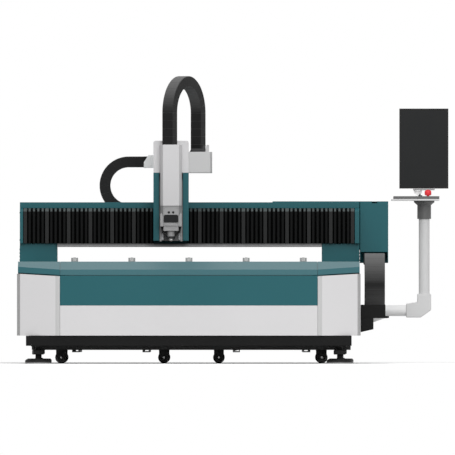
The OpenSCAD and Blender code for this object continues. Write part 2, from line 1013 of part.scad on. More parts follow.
module tower_cap() {
    color(white)
        at_carriage()
            difference() {
                translate([0, plate_back, 0])
                    rotate([90, 0, 0])
                        linear_extrude(plate_back - tower_front)
                            cap_outline(0);
                translate([0, plate_back + 1, 0])
                    rotate([90, 0, 0])
                        linear_extrude(plate_back + 1 - tower_front - sheet)
                            cap_outline(sheet);
            }
}

// The box under the head chain in plan, with its outer front edge cut off
module chain_box_plan(x0, x1, inset = 0) {
    cut = 13;
    front = -235 + inset;
    back = 112 - inset;
    polygon([[x0, front], [x1 - cut, front], [x1, front + 2 * cut], [x1, back], [x0, back]]);
}

// The bridge reaches over the beam to the cross chain; the box carries the head chain
module chain_brackets() {
    bracket_l = tower_x0 + 60 - bracket_x;
    box_x1 = tower_x1 + 146;
    color(white)
        at_gantry() {
            box(tower_x0 + 60, tower_x1 - 60, plate_back, x_chain_yg + x_chain_w + 10, bridge_z0, bridge_z1);
            translate([bracket_x, x_chain_yg + x_chain_w + 10, 0])
                rotate([90, 0, 0])
                    linear_extrude(x_chain_w + 20)
                        polygon([
                            [0, bridge_z0], [bracket_l, bridge_z0], [bracket_l, bridge_z1],
                            [slant_w, bridge_z1],
                            [0, bridge_z0 + slant_h]
                        ]);
            difference() {
                translate([0, 0, tower_z])
                    linear_extrude(chain_box_z - tower_z)
                        chain_box_plan(tower_x1, box_x1);
                translate([0, 0, tower_z - 1])
                    linear_extrude(chain_box_z - tower_z + 1 - sheet)
                        chain_box_plan(tower_x1 + sheet, box_x1 - sheet, sheet);
            }
            translate([box_x1 - 19, 42, chain_box_z])
                rotate([90, 0, 0])
                    linear_extrude(12)
                        polygon([[-25, 0], [0, 0], [0, 46], [-16, 46]]);
        }
}

module carriage_motors() {
    color("#333333")
        at_carriage() {
            translate([0, plate_front - 52, x_pinion_z])
                cube([90, 104, 90], center = true);
            translate([0, screw_yg, tower_z + 4 + 55])
                cube([68, 68, 110], center = true);
        }
}

module x_pinion() {
    color("#9a9a9a")
        at_carriage()
            translate([0, 0, x_pinion_z]) {
                translate([0, -13, 0])
                    rod_y(x_pinion_r, 20);
                translate([0, (plate_front + 0.2 - 13) / 2, 0])
                    rod_y(10, -plate_front - 0.2 - 13);
            }
}

module z_rails() {
    color("#b8b8b8")
        at_carriage()
            for (s = [-1, 1])
                translate([s * z_rail_x - z_rail_w / 2, frame_front - z_rail_w, tower_z0 + 5])
                    cube([z_rail_w, z_rail_w, tower_z - tower_z0 - 12]);
}

module z_screw() {
    color("#b0b0b0")
        at_carriage()
            translate([0, screw_yg, tower_z0 + 20])
                cylinder(r = screw_r, h = tower_z + 4 - gap - tower_z0 - 20);
}

// The slide runs on the two Z rails; its nut takes the screw and two prongs reach down beside the nozzle
module z_slide() {
    block_zs = [899, 1064];
    prong_w = 12;
    top_z = 1144;
    color("#a6a6a6")
        at_carriage() {
            difference() {
                union() {
                    box(-slide_half_w, slide_half_w, slide_front, slide_back, head_z0 - 12, top_z);
                    for (s = [-1, 1])
                        translate([s * (slide_half_w - prong_w / 2), (slide_front + slide_back) / 2, 804])
                            cube([prong_w, slide_back - slide_front, 86], center = true);
                    for (z = block_zs, s = [-1, 1])
                        translate([s * z_rail_x, -203, z])
                            cube([32, 16, 60], center = true);
                    translate([0, -202, 994])
                        cube([40, 20, 60], center = true);
                    box(-47, 47, spacer_front, slide_front, head_z0 + 8, top_z);
                }
                for (s = [-1, 1])
                    box(s * z_rail_x - z_rail_w / 2 - gap, s * z_rail_x + z_rail_w / 2 + gap,
                        frame_front - z_rail_w - gap, 0, 0, 2000);
                translate([0, screw_yg, 900])
                    cylinder(r = screw_r + run_gap, h = 400, center = true);
            }
        }
}

module head_plan(inset) {
    half = cover_half_w - inset;
    face = cover_face_half_w - inset * 0.6;
    polygon([
        [-half, spacer_front - inset], [-half, spacer_front - 52], [-face, cover_face + inset],
        [face, cover_face + inset], [half, spacer_front - 52], [half, spacer_front - inset]
    ]);
}

module head_cover() {
    color(white)
        at_carriage()
            difference() {
                translate([0, 0, head_cover_z0])
                    linear_extrude(head_cover_z1 - head_cover_z0)
                        head_plan(0);
                translate([0, 0, head_cover_z0 - 1])
                    linear_extrude(head_cover_z1 - head_cover_z0 + 1 - sheet)
                        head_plan(sheet);
            }
}

module cutting_head() {
    face_half_w = 48;
    neck_half_w = 46.5;
    color("#9a9a9a")
        at_carriage() {
            translate([0, 0, head_z0])
                linear_extrude(head_cover_z0 - head_z0)
                    polygon([
                        [-head_half_w, spacer_front], [-head_half_w, spacer_front - 52],
                        [-face_half_w, head_front], [face_half_w, head_front],
                        [head_half_w, spacer_front - 52], [head_half_w, spacer_front]
                    ]);
            box(-neck_half_w, neck_half_w, head_front + 6, spacer_front - 6, head_neck_z, head_z0);
            translate([0, head_yg, head_tip_z])
                cylinder(r = head_tip_r, h = head_neck_z - head_tip_z);
        }
}

module head_display() {
    color("#1d1f24")
        at_carriage()
            box(-42, 42, head_front - 3, head_front, 881, 922);
}

module nozzle_ring() {
    color("#202020")
        at_carriage()
            translate([0, head_yg, nozzle_top_z])
                cylinder(r = 26, h = head_tip_z - nozzle_top_z);
}

module nozzle() {
    height = nozzle_top_z - nozzle_z;
    color("#b4b4b2")
        at_carriage()
            translate([0, head_yg, nozzle_z])
                difference() {
                    rotate_extrude()
                        polygon([[0, 0], [4, 0], [13, 9], [13, height], [0, height]]);
                    translate([0, 0, -1])
                        cylinder(r = 1.5, h = 12);
                }
}

// Two short hoses run from the head's shoulders past its neck to its tip
module head_hoses() {
    hose_r = 5;
    stub = 10;
    points = [
        [55, head_z0 - stub - gap], [55, head_neck_z - stub - gap],
        [head_tip_r + hose_r + weld, head_tip_z + 2]
    ];
    color("#202020")
        at_carriage()
            for (s = [-1, 1], i = [0, 1])
                hull()
                    for (at = [points[i], points[i + 1]])
                        translate([s * at[0], head_yg, at[1]])
                            cylinder(r = hose_r, h = stub, $fn = 16);
}

module swivel_socket() {
    color("#5a5a5a")
        translate([upright_x, arm_y, 0])
            difference() {
                rotate_extrude()
                    polygon([
                        [0, socket_z0], [elbow_half, socket_z0], [elbow_half, socket_z1], [65, flare_z],
                        [65, shelf_tray_z], [0, shelf_tray_z]
                    ]);
                translate([0, 0, socket_z0 - 1])
                    cylinder(r = spigot_r + run_gap, h = 62);
            }
}

module console_shelf() {
    color("#3c3c3c")
        difference() {
            union() {
                box(upright_x - 194, upright_x + 94, arm_y - 170, arm_y + 60, shelf_z, shelf_top_z);
                translate([post_x, arm_y, (shelf_top_z + tilt_z + 9) / 2])
                    cube([25, 20, tilt_z + 9 - shelf_top_z], center = true);
            }
            translate([post_x, arm_y, tilt_z])
                rod_x(pin_r + run_gap, 40);
            translate([estop_x, estop_y, shelf_top_z])
                cylinder(r = 9 + run_gap, h = 24, center = true);
        }
}

module shelf_tray() {
    color(light_grey)
        box(upright_x - 207, upright_x + 94, arm_y - 175, arm_y + 65, shelf_tray_z, shelf_z);
}

module estop_button() {
    color("#e03038")
        translate([estop_x, estop_y, 0]) {
            translate([0, 0, shelf_top_z - 6])
                cylinder(r = 9, h = 14);
            translate([0, 0, shelf_top_z + 6])
                rotate_extrude()
                    polygon([
                        [0, 0], [estop_r - 5, 0], [estop_r, 6], [estop_r, 22], [estop_r - 6, 31], [0, 35]
                    ]);
        }
}

// A flat block the size of the screen, with its back in the screen's recess
module screen_form(margin, thick) {
    half = monitor_w / 2 - margin;
    back = arm_y - monitor_t / 2 + screen_t;
    box(monitor_x - half, monitor_x + half, back - thick, back,
        monitor_z + margin, monitor_z + monitor_h - margin);
}

module monitor_case() {
    color("#2f2f2f") {
        difference() {
            translate([monitor_x, arm_y, monitor_z + monitor_h / 2])
                cube([monitor_w, monitor_t, monitor_h], center = true);
            screen_form(bezel, monitor_t);
        }
        box(monitor_x - 68, monitor_x + 68, arm_y - 30, arm_y + 30, tilt_z + 12, monitor_z);
        for (s = [-1, 1])
            translate([post_x + s * 19.5, arm_y, tilt_z + 3])
                cube([12, 24, 22], center = true);
        translate([post_x, arm_y, tilt_z])
            rod_x(pin_r, 50);
    }
}

module monitor_screen() {
    color("#232425")
        screen_form(bezel + gap / 2, screen_t);
}

base_rails();
bed_beams();
table_frame();
support_slats();
levelling_feet();
end_lower_panels();
end_upper_panels();
corner_panels();
end_top_covers();
side_panels();
y_guides();
chain_tray();
roller_brackets();
loading_rollers();
exhaust_collar();
support_arm();
arm_elbow();
arm_upright();
y_chain();
slag_cart_left();
cart_left_wheels_outer();
cart_left_wheels_inner();
slag_cart_right();
cart_right_wheels_outer();
cart_right_wheels_inner();
gantry_beam();
gantry_legs();
beam_top_cover();
beam_guard_strip();
x_guides();
gantry_blocks();
gantry_motors();
gantry_pinions();
chain_housing();
x_chain();
bellows_left();
bellows_right();
carriage_plate();
tower_frame();
tower_sides();
tower_cap();
chain_brackets();
carriage_motors();
x_pinion();
z_rails();
z_screw();
z_chain();
z_slide();
head_cover();
cutting_head();
head_display();
nozzle_ring();
nozzle();
head_hoses();
swivel_socket();
console_shelf();
shelf_tray();
estop_button();
monitor_case();
monitor_screen();
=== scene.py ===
"""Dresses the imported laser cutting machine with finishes, cable chains, bellows, panels and fittings."""
import json
import math

import bmesh
import bpy
from mathutils import Matrix, Vector

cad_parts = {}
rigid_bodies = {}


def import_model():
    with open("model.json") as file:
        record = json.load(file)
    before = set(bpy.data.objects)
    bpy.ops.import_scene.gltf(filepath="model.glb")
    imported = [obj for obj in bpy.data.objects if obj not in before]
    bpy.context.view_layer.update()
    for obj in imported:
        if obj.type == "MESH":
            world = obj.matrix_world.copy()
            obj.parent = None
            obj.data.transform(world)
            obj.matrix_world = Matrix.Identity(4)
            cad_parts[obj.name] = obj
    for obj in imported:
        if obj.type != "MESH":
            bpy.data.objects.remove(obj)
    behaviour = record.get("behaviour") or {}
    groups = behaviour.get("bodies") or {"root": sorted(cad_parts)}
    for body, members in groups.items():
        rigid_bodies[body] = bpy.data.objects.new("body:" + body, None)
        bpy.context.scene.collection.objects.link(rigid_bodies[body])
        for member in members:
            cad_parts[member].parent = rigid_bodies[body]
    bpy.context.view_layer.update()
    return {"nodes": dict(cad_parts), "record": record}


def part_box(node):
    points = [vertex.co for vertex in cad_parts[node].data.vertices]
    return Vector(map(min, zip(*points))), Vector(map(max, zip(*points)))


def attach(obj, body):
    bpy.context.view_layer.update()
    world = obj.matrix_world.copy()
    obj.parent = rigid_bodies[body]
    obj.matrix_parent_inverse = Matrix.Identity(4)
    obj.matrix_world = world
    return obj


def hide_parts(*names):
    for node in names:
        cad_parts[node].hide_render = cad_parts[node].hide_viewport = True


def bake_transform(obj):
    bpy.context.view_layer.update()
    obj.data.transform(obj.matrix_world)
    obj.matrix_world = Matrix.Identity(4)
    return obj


for leftover in list(bpy.data.objects):
    bpy.data.objects.remove(leftover)

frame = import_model()

X_AXIS = Vector((1, 0, 0))
Y_AXIS = Vector((0, 1, 0))
Z_AXIS = Vector((0, 0, 1))
MM = 0.001
SMOOTH_BELOW = math.radians(38)


# Shader helpers

def linear(code):
    """A hex sRGB colour as linear RGBA."""
    parts = [int(code[i:i + 2], 16) / 255 for i in (1, 3, 5)]
    return (*[c / 12.92 if c <= 0.04045 else ((c + 0.055) / 1.055) ** 2.4 for c in parts], 1.0)


def per(size_mm):
    """A texture scale whose pattern repeats about once in that many millimetres."""
    return 1 / (size_mm * MM)


def add(tree, kind, settings=None, links=None):
    """Adds a node, sets its sockets or properties, and links outputs of earlier nodes to its inputs."""
    node = tree.nodes.new(kind)
    for key, value in (settings or {}).items():
        if key == "ramp":
            for element, (place, colour) in zip(node.color_ramp.elements, value):
                element.position = place
                element.color = linear(colour)
        elif isinstance(key, int) or key in node.inputs:
            node.inputs[key].default_value = value
        else:
            setattr(node, key, value)
    for key, (source, output) in (links or {}).items():
        tree.links.new(source.outputs[output], node.inputs[key])
    return node


def blank(name):
    """A new material, its node tree and the object coordinates that its patterns follow."""
    material = bpy.data.materials.new(name)
    material.use_nodes = True
    tree = material.node_tree
    tree.nodes.clear()
    return material, tree, (add(tree, "ShaderNodeTexCoord"), "Object")


def drift(tree, place, size_mm, detail, first, second):
    """Patches about that wide, and the tone that drifts with them from one colour to another."""
    patch = add(tree, "ShaderNodeTexNoise", {"Scale": per(size_mm), "Detail": detail}, {"Vector": place})
    shade = add(tree, "ShaderNodeMix", {"data_type": "RGBA", 6: linear(first), 7: linear(second)},
                {0: (patch, "Fac")})
    return (patch, "Fac"), (shade, 2)


def rise(tree, place, low, high):
    """How far up a point is between two heights, from 0 to 1."""
    split = add(tree, "ShaderNodeSeparateXYZ", None, {"Vector": place})
    share = add(tree, "ShaderNodeMapRange", {"From Min": low, "From Max": high}, {"Value": (split, "Z")})
    return share, "Result"


def close(tree, colour, wear, roughness, settings, relief=None):
    """Ends a tree with its surface: wear moves the roughness between two values, and relief is the height
    that its bump follows, with the bump's strength and its depth in millimetres."""
    gloss = add(tree, "ShaderNodeMapRange", {"To Min": roughness[0], "To Max": roughness[1]}, {"Value": wear})
    links = {"Base Color": colour, "Roughness": (gloss, "Result")}
    if relief:
        height, strength, depth_mm = relief
        bump = add(tree, "ShaderNodeBump", {"Strength": strength, "Distance": depth_mm * MM},
                   {"Height": height})
        links["Normal"] = (bump, "Normal")
    surface = add(tree, "ShaderNodeBsdfPrincipled", settings, links)
    add(tree, "ShaderNodeOutputMaterial", None, {"Surface": (surface, "BSDF")})


# Finishes

def powder_coat(name, colour, second, roughness, peel_mm=9, peel_depth=0.25, specular=0.3, bands=()):
    """Powder coat is sprayed dry on sheet steel and baked: faint orange peel, broad soft gloss, slight drift
    of tone. The peel is about 2 mm wide on the real sheet and is drawn coarser so that it shows. Bands are
    upright stripes of painted shade on both sides: distance from the middle, half the width, colour."""
    material, tree, place = blank(name)
    _, shade = drift(tree, place, 420, 3, colour, second)
    for centre, half_w, painted_shade_grey in bands:
        split = add(tree, "ShaderNodeSeparateXYZ", None, {"Vector": place})
        across = add(tree, "ShaderNodeMath", {"operation": "ABSOLUTE"}, {0: (split, "X")})
        inside = add(tree, "ShaderNodeMath", {"operation": "COMPARE", 1: centre, 2: half_w},
                     {0: (across, "Value")})
        band = add(tree, "ShaderNodeMix", {"data_type": "RGBA", 7: linear(painted_shade_grey)},
                   {0: (inside, "Value"), 6: shade})
        shade = (band, 2)
    peel = add(tree, "ShaderNodeTexNoise", {"Scale": per(peel_mm), "Detail": 2}, {"Vector": place})
    close(tree, shade, (peel, "Fac"), (roughness - 0.06, roughness + 0.06),
          {"IOR": 1.5, "Specular IOR Level": specular}, ((peel, "Fac"), peel_depth, 0.4))
    return material


def worked_metal(name, colour, stain, roughness, line_mm, stretch, metallic=1.0):
    """Ground, turned or blasted metal: fine tool lines catch the light, and handling leaves darker patches.
    Tool lines are under 1 mm apart and are drawn line_mm apart so that they show."""
    material, tree, place = blank(name)
    along = add(tree, "ShaderNodeMapping", {"Scale": stretch}, {"Vector": place})
    lines = add(tree, "ShaderNodeTexNoise", {"Scale": per(line_mm), "Detail": 3},
                {"Vector": (along, "Vector")})
    _, shade = drift(tree, place, 160, 4, colour, stain)
    close(tree, shade, (lines, "Fac"), (roughness - 0.1, roughness + 0.12), {"Metallic": metallic},
          ((lines, "Fac"), 0.3, 0.2))
    return material


def heat_stained_steel():
    """Mild steel slats, cut by laser: grey mill scale, and brown heat tint that deepens towards the teeth."""
    material, tree, place = blank("heat_stained_mild_steel")
    tip, tinted_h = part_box("support_slats")[1].z, 45 * MM
    height = rise(tree, place, tip - tinted_h, tip)
    patch = add(tree, "ShaderNodeTexNoise", {"Scale": per(55), "Detail": 5}, {"Vector": place})
    heat = add(tree, "ShaderNodeMath", {"operation": "MULTIPLY"}, {0: height, 1: (patch, "Fac")})
    shade = add(tree, "ShaderNodeValToRGB", {"ramp": ((0.1, "#8f8b86"), (0.6, "#5d5248"))},
                {"Fac": (heat, "Value")})
    close(tree, (shade, "Color"), (patch, "Fac"), (0.4, 0.7), {"Metallic": 0.8}, ((patch, "Fac"), 0.5, 0.6))
    return material


def moulded(name, colour, second, roughness, grain_mm, depth=0.3, specular=0.3):
    """Moulded plastic or rubber, or a blackened metal: an even fine grain, and a tone that drifts a little.
    The grain is about 0.5 mm wide and is drawn grain_mm wide so that it shows."""
    material, tree, place = blank(name)
    grain = add(tree, "ShaderNodeTexVoronoi", {"Scale": per(grain_mm)}, {"Vector": place})
    patch, shade = drift(tree, place, 120, 3, colour, second)
    close(tree, shade, patch, (roughness - 0.08, roughness + 0.08),
          {"IOR": 1.5, "Specular IOR Level": specular}, ((grain, "Distance"), depth, 0.3))
    return material


def coated_cloth():
    """Polyester cloth with a rubber coat, folded and sewn over stiffeners: nearly black, faint weave, soft
    sheen on the folds. Its threads are 0.5 mm apart and are drawn 31 mm apart so that they show."""
    material, tree, place = blank("rubber_coated_polyester_cloth")
    # At scale 1 a wave texture repeats every tau / 20 metres
    scale = per(31.416) * math.tau / 20
    weft, warp = [add(tree, "ShaderNodeTexWave", {"bands_direction": way, "Scale": scale, "Distortion": 0.4},
                      {"Vector": place}) for way in ("Z", "X")]
    weave = add(tree, "ShaderNodeMath", {"operation": "MULTIPLY"}, {0: (weft, "Fac"), 1: (warp, "Fac")})
    wear, shade = drift(tree, place, 90, 4, "#0b0c0c", "#131414")
    close(tree, shade, wear, (0.5, 0.7), {"IOR": 1.48, "Specular IOR Level": 0.08},
          ((weave, "Value"), 0.25, 0.3))
    return material


def guard_steel_with_painted_shade():
    """Ground steel strip over the cut, with painted shade: darker towards its upper edge under the bellows,
    bright towards its lower one.
    """
    material, tree, place = blank("ground_steel_with_painted_shade")
    low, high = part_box("beam_guard_strip")
    height = rise(tree, place, low.z, high.z)
    patch = add(tree, "ShaderNodeTexNoise", {"Scale": per(60), "Detail": 4}, {"Vector": place})
    uneven = add(tree, "ShaderNodeMath", {"operation": "MULTIPLY_ADD", 1: 0.15, 2: -0.07},
                 {0: (patch, "Fac")})
    # painted shade: darker towards the top, where the bellows shade the strip
    painted_shade_share = add(tree, "ShaderNodeMath", {"operation": "ADD"}, {0: height, 1: (uneven, "Value")})
    shade = add(tree, "ShaderNodeValToRGB", {"ramp": ((0.1, "#8e8e8f"), (0.95, "#2c2c2d"))},
                {"Fac": (painted_shade_share, "Value")})
    close(tree, (shade, "Color"), (patch, "Fac"), (0.45, 0.65), {"Metallic": 0.5})
    return material


def nylon_with_painted_sheen():
    """Moulded nylon links: an even satin near-black, with painted light: faces that look up or down turn
    lighter grey, a painted reflection of the light above and painted bounce from the floor below.
    """
    material, tree, place = blank("moulded_nylon_with_painted_sheen")
    facing = add(tree, "ShaderNodeNewGeometry")
    split = add(tree, "ShaderNodeSeparateXYZ", None, {"Vector": (facing, "Normal")})
    level = add(tree, "ShaderNodeMath", {"operation": "ABSOLUTE"}, {0: (split, "Z")})
    patch = add(tree, "ShaderNodeTexNoise", {"Scale": per(110), "Detail": 4}, {"Vector": place})
    sheen_patchiness = add(tree, "ShaderNodeMapRange", {"To Min": 0.85, "To Max": 1.0}, {"Value": (patch, "Fac")})
    # painted light: the more a face looks up or down, the lighter its grey
    painted_sheen = add(tree, "ShaderNodeMath", {"operation": "MULTIPLY"}, {0: (level, "Value"), 1: (sheen_patchiness, "Result")})
    shade = add(tree, "ShaderNodeMix", {"data_type": "RGBA", 6: linear("#1f1f1f"), 7: linear("#6a6a6a")},
                {0: (painted_sheen, "Value")})
    close(tree, (shade, 2), (patch, "Fac"), (0.45, 0.6), {"IOR": 1.5, "Specular IOR Level": 0.1})
    return material


def two_tone(name, split_z, below, above):
    """Two finishes that meet at a height, as where a painted bracket is screwed to a moulded case. Both have
    a faint orange peel, about 2 mm wide on the real part and drawn coarser so that it shows."""
    material, tree, place = blank(name)
    blur = 0.2 * MM
    shade = add(tree, "ShaderNodeMix", {"data_type": "RGBA", 6: linear(below), 7: linear(above)},
                {0: rise(tree, place, split_z - blur, split_z + blur)})
    peel = add(tree, "ShaderNodeTexNoise", {"Scale": per(8), "Detail": 2}, {"Vector": place})
    close(tree, (shade, 2), (peel, "Fac"), (0.44, 0.56), {"IOR": 1.5, "Specular IOR Level": 0.1},
          ((peel, "Fac"), 0.25, 0.3))
    return material


def dark_glass():
    """Anti-glare cover glass over a dark panel: nearly black, with a soft mirror and faint wiping marks."""
    material, tree, place = blank("anti_glare_cover_glass")
    wiped = add(tree, "ShaderNodeMapping", {"Scale": (1, 1, 0.3)}, {"Vector": place})
    smear, shade = drift(tree, (wiped, "Vector"), 70, 4, "#262728", "#2a2b2b")
    close(tree, shade, smear, (0.28, 0.4), {"IOR": 1.52, "Specular IOR Level": 0.05})
    return material


FINISHES = {
    "teal_paint": powder_coat("teal_powder_coat_on_steel", "#17565d", "#1c5b62", 0.42, specular=0.2),
    "white_paint": powder_coat("white_powder_coat_on_steel", "#d0cfd0", "#d6d5d6", 0.5),
    "grey_paint": powder_coat("light_grey_powder_coat_on_steel", "#d4d4d4", "#dadada", 0.5),
    "black_paint": powder_coat("black_texture_powder_coat_on_steel", "#131313", "#1a1a1a", 0.55, 6, 0.5,
                               0.08),
    "frame_steel": powder_coat("grey_primer_and_enamel_on_steel", "#6c6d6e", "#7b7c7c", 0.55, 12, 0.4, 0.5),
    "bare_steel": worked_metal("ground_guide_steel", "#909192", "#7a7b7d", 0.38, 5, (1, 0.1, 1)),
    "slat_steel": heat_stained_steel(),
    "roller_steel": worked_metal("turned_zinc_plated_steel", "#929392", "#7c7d7d", 0.45, 4, (1, 1, 0.2), 0.6),
    "head_aluminium": worked_metal("bead_blasted_anodised_aluminium", "#a0a0a0", "#949495", 0.55, 4,
                                   (1, 1, 1), 0.15),
    "chain_nylon": nylon_with_painted_sheen(),
    "bellows_cloth": coated_cloth(),
    "caster_rubber": moulded("moulded_polyurethane_tyre", "#626262", "#6e6e6e", 0.5, 5, 0.3, 0.6),
    "foot_rubber": moulded("black_oxide_steel", "#181818", "#1e1e1e", 0.5, 8, 0.15, 0.12),
    "motor_black": moulded("black_anodised_aluminium", "#1c1c1d", "#242425", 0.4, 6, 0.15),
    "hose_rubber": moulded("extruded_polyurethane_hose", "#161616", "#1e1e1e", 0.3, 8, 0.1),
    "nozzle_chrome": worked_metal("hard_chrome_on_turned_copper", "#c6c6c4", "#adadac", 0.3, 3, (1, 1, 0.2)),
    "dark_plastic": moulded("moulded_abs", "#262626", "#2c2c2c", 0.5, 5, 0.3, 0.12),
    "screen_glass": dark_glass(),
    "signal_red": moulded("moulded_red_abs", "#e2303b", "#ea3e46", 0.4, 6, 0.1),
}
STIFFENER = moulded("extruded_pvc_stiffener", "#222323", "#2a2b2b", 0.5, 8, 0.1, 0.12)
# painted highlight: a lighter grey for the sloped tops of the bellows' folds, standing for the light from
# above
FOLD_TOP_HIGHLIGHT = moulded("painted_highlight_on_coated_cloth", "#434a4a", "#4f5656", 0.75, 8, 0.3, 0.15)
CAST_GREY = powder_coat("grey_enamel_on_cast_aluminium", "#626262", "#6c6c6c", 0.5, 7, 0.4)
BOX_GREY = powder_coat("pale_grey_powder_coat_on_steel", "#c2c2c2", "#c8c8c8", 0.5)
MONITOR_H = 503 * MM
SHELF_T = 18 * MM
CASE_FOOT_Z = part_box("monitor_case")[1].z - MONITOR_H
SHELF_TOP_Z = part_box("shelf_tray")[1].z + SHELF_T
CASE_ON_BRACKET = two_tone("moulded_abs_on_white_bracket", CASE_FOOT_Z, "#fafafa", "#272727")
POST_ON_SHELF = two_tone("white_post_on_grey_painted_shelf", SHELF_TOP_Z, "#6e6e6e", "#fafafa")
CART_BLACK = powder_coat("black_gloss_powder_coat_on_steel", "#1c1c1c", "#242424", 0.4, 6, 0.3, 0.5)
ARM_WHITE = powder_coat("bright_white_powder_coat_on_tube", "#eeeeee", "#f2f2f2", 0.5)
BOLT_CHROME = worked_metal("bright_chrome_on_steel", "#dcdcdc", "#cacaca", 0.22, 3, (1, 1, 1))
# painted shade: greyer upright stripes on the corner sheets' lips and turned-back folds
CORNER_LIP = (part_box("end_lower_panels")[1].x + 14.5 * MM, 13.5 * MM, "#c0c0c0")
CORNER_FOLD = (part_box("corner_panels")[1].x - 10.75 * MM, 9.25 * MM, "#aeaeae")
CORNER_WHITE = powder_coat("white_powder_coat_with_painted_shade_on_folds", "#d0cfd0", "#d6d5d6", 0.5,
                           bands=(CORNER_LIP, CORNER_FOLD))
EAVE_TEAL = powder_coat("teal_gloss_powder_coat_on_steel", "#195860", "#1e5d65", 0.36, specular=0.45)
SHADED_GUARD_STEEL = guard_steel_with_painted_shade()


# Mesh helpers

def placed(name, data):
    """A new object in the scene."""
    obj = bpy.data.objects.new(name, data)
    bpy.context.collection.objects.link(obj)
    return obj


def meshed(name, bm, materials):
    """A new mesh object with these materials."""
    mesh = bpy.data.meshes.new(name)
    bm.to_mesh(mesh)
    bm.free()
    for material in materials:
        mesh.materials.append(material)
    return placed(name, mesh)


def piece(name, bm, slot, body=None, nodes=(), extra=(), finish=None):
    """A mesh object with its slot's finish or its own, which rides on a body and stands for CAD nodes."""
    bmesh.ops.recalc_face_normals(bm, faces=bm.faces)
    for edge in bm.edges:
        edge.smooth = edge.calc_face_angle(math.pi) < SMOOTH_BELOW
    for face in bm.faces:
        face.smooth = True
    obj = meshed(name, bm, (finish or FINISHES[slot], *extra))
    if nodes:
        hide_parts(*nodes)
    if body:
        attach(obj, body)
    return obj


def middle(node):
    """The centre of a node's box."""
    low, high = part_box(node)
    return (low + high) / 2


def mm(*points):
    """An outline given in millimetres, in metres."""
    return [(u * MM, v * MM) for u, v in points]


def loft(bm, rings, capped=True):
    """Joins rings of equal length into a skin, closes its two ends if capped, and returns the faces."""
    rows = [[bm.verts.new(point) for point in ring] for ring in rings]
    count = len(rows[0])
    made = []
    for low, high in zip(rows, rows[1:]):
        for i in range(count):
            j = (i + 1) % count
            made.append(bm.faces.new((low[i], low[j], high[j], high[i])))
    if capped:
        made.append(bm.faces.new(rows[0][::-1]))
        made.append(bm.faces.new(rows[-1]))
    return made


def turned(bm, outline, origin, axis, segments):
    """Turns an outline of (radius, height) points about an axis through origin."""
    axis = Vector(axis)
    side = axis.orthogonal().normalized()
    front = axis.cross(side)
    angles = [math.tau * i / segments for i in range(segments)]
    loft(bm, [[Vector(origin) + axis * h + (side * math.cos(a) + front * math.sin(a)) * r for a in angles]
              for r, h in outline])


def block(bm, low, high, radius):
    """A block between two corners, with its edges rounded."""
    low, high = Vector(low), Vector(high)
    scale = Matrix.Diagonal((*(high - low), 1))
    made = bmesh.ops.create_cube(bm, size=1, matrix=Matrix.Translation((low + high) / 2) @ scale)
    edges = list({edge for vert in made["verts"] for edge in vert.link_edges})
    bmesh.ops.bevel(bm, geom=edges, offset=radius, segments=2, profile=0.5, affect="EDGES")


def extruded(bm, outline, place, start, stop):
    """Sweeps a flat outline from start to stop; place(u, v, w) says where its points lie."""
    loft(bm, [[place(u, v, w) for u, v in outline] for w in (start, stop)])


def swept(bm, outline, start, stop, x=0.0, z=0.0):
    """Sweeps an outline of (x, z) points along Y, moved by x and z."""
    extruded(bm, outline, lambda u, v, w: Vector((x + u, w, z + v)), start, stop)


def screw(bm, at, axis, head_r=6.5 * MM, head_h=3 * MM):
    """A button-head screw with a round socket, standing on a face."""
    dome = [(head_r, 0), (head_r, head_h * 0.35), (head_r * 0.8, head_h * 0.8), (head_r * 0.5, head_h)]
    socket = [(head_r * 0.48, head_h), (head_r * 0.42, head_h * 0.3)]
    turned(bm, dome + socket, at, axis, 12)


# Pieces of bodies that lie between two others

BREAKS = (0.05, 0.15, 0.3, 0.5, 0.7, 0.85, 0.95)


def groups(count, first, last):
    """Runs of neighbouring links, short near weights 0 and 1: start, stop, and the weight at each of them."""
    inside = [b for b in BREAKS if min(first, last) < b < max(first, last)]
    cuts = sorted({0, count} | {round(count * (b - first) / (last - first)) for b in inside})
    weight = [first + (last - first) * i / count for i in range(count + 1)]
    return [(i, j, weight[i], weight[j]) for i, j in zip(cuts, cuts[1:])]


def stretch(obj, fixed, moving, axis, low, high, w_low, w_high):
    """Bakes obj's transform into its mesh; obj is not blended, and axis, low, high, w_low and w_high are not
    used.
    """
    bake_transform(obj)


def hold(obj):
    """Bakes obj's transform into its mesh; obj is not blended."""
    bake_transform(obj)


# Cable chains

CHAIN_T = 68 * MM
LINK_L = 46 * MM


def chain_section(width):
    """The outline of a link across the chain, in (outward, sideways), with cut corners."""
    half_t, half_w, cut = CHAIN_T / 2, width / 2, 3 * MM
    return [(-half_t, cut - half_w), (-half_t, half_w - cut), (cut - half_t, half_w), (half_t - cut, half_w),
            (half_t, half_w - cut), (half_t, cut - half_w), (half_t - cut, -half_w), (cut - half_t, -half_w)]


def chain_point(s, lower, r):
    """Place and outward direction at s along a chain that runs in, turns half a circle and runs out."""
    if s <= lower:
        return Vector((lower - s, -r)), Vector((0, -1))
    turn = (s - lower) / r
    if turn < math.pi:
        out = Vector((-math.sin(turn), -math.cos(turn)))
        return out * r, out
    return Vector((s - lower - math.pi * r, r)), Vector((0, 1))


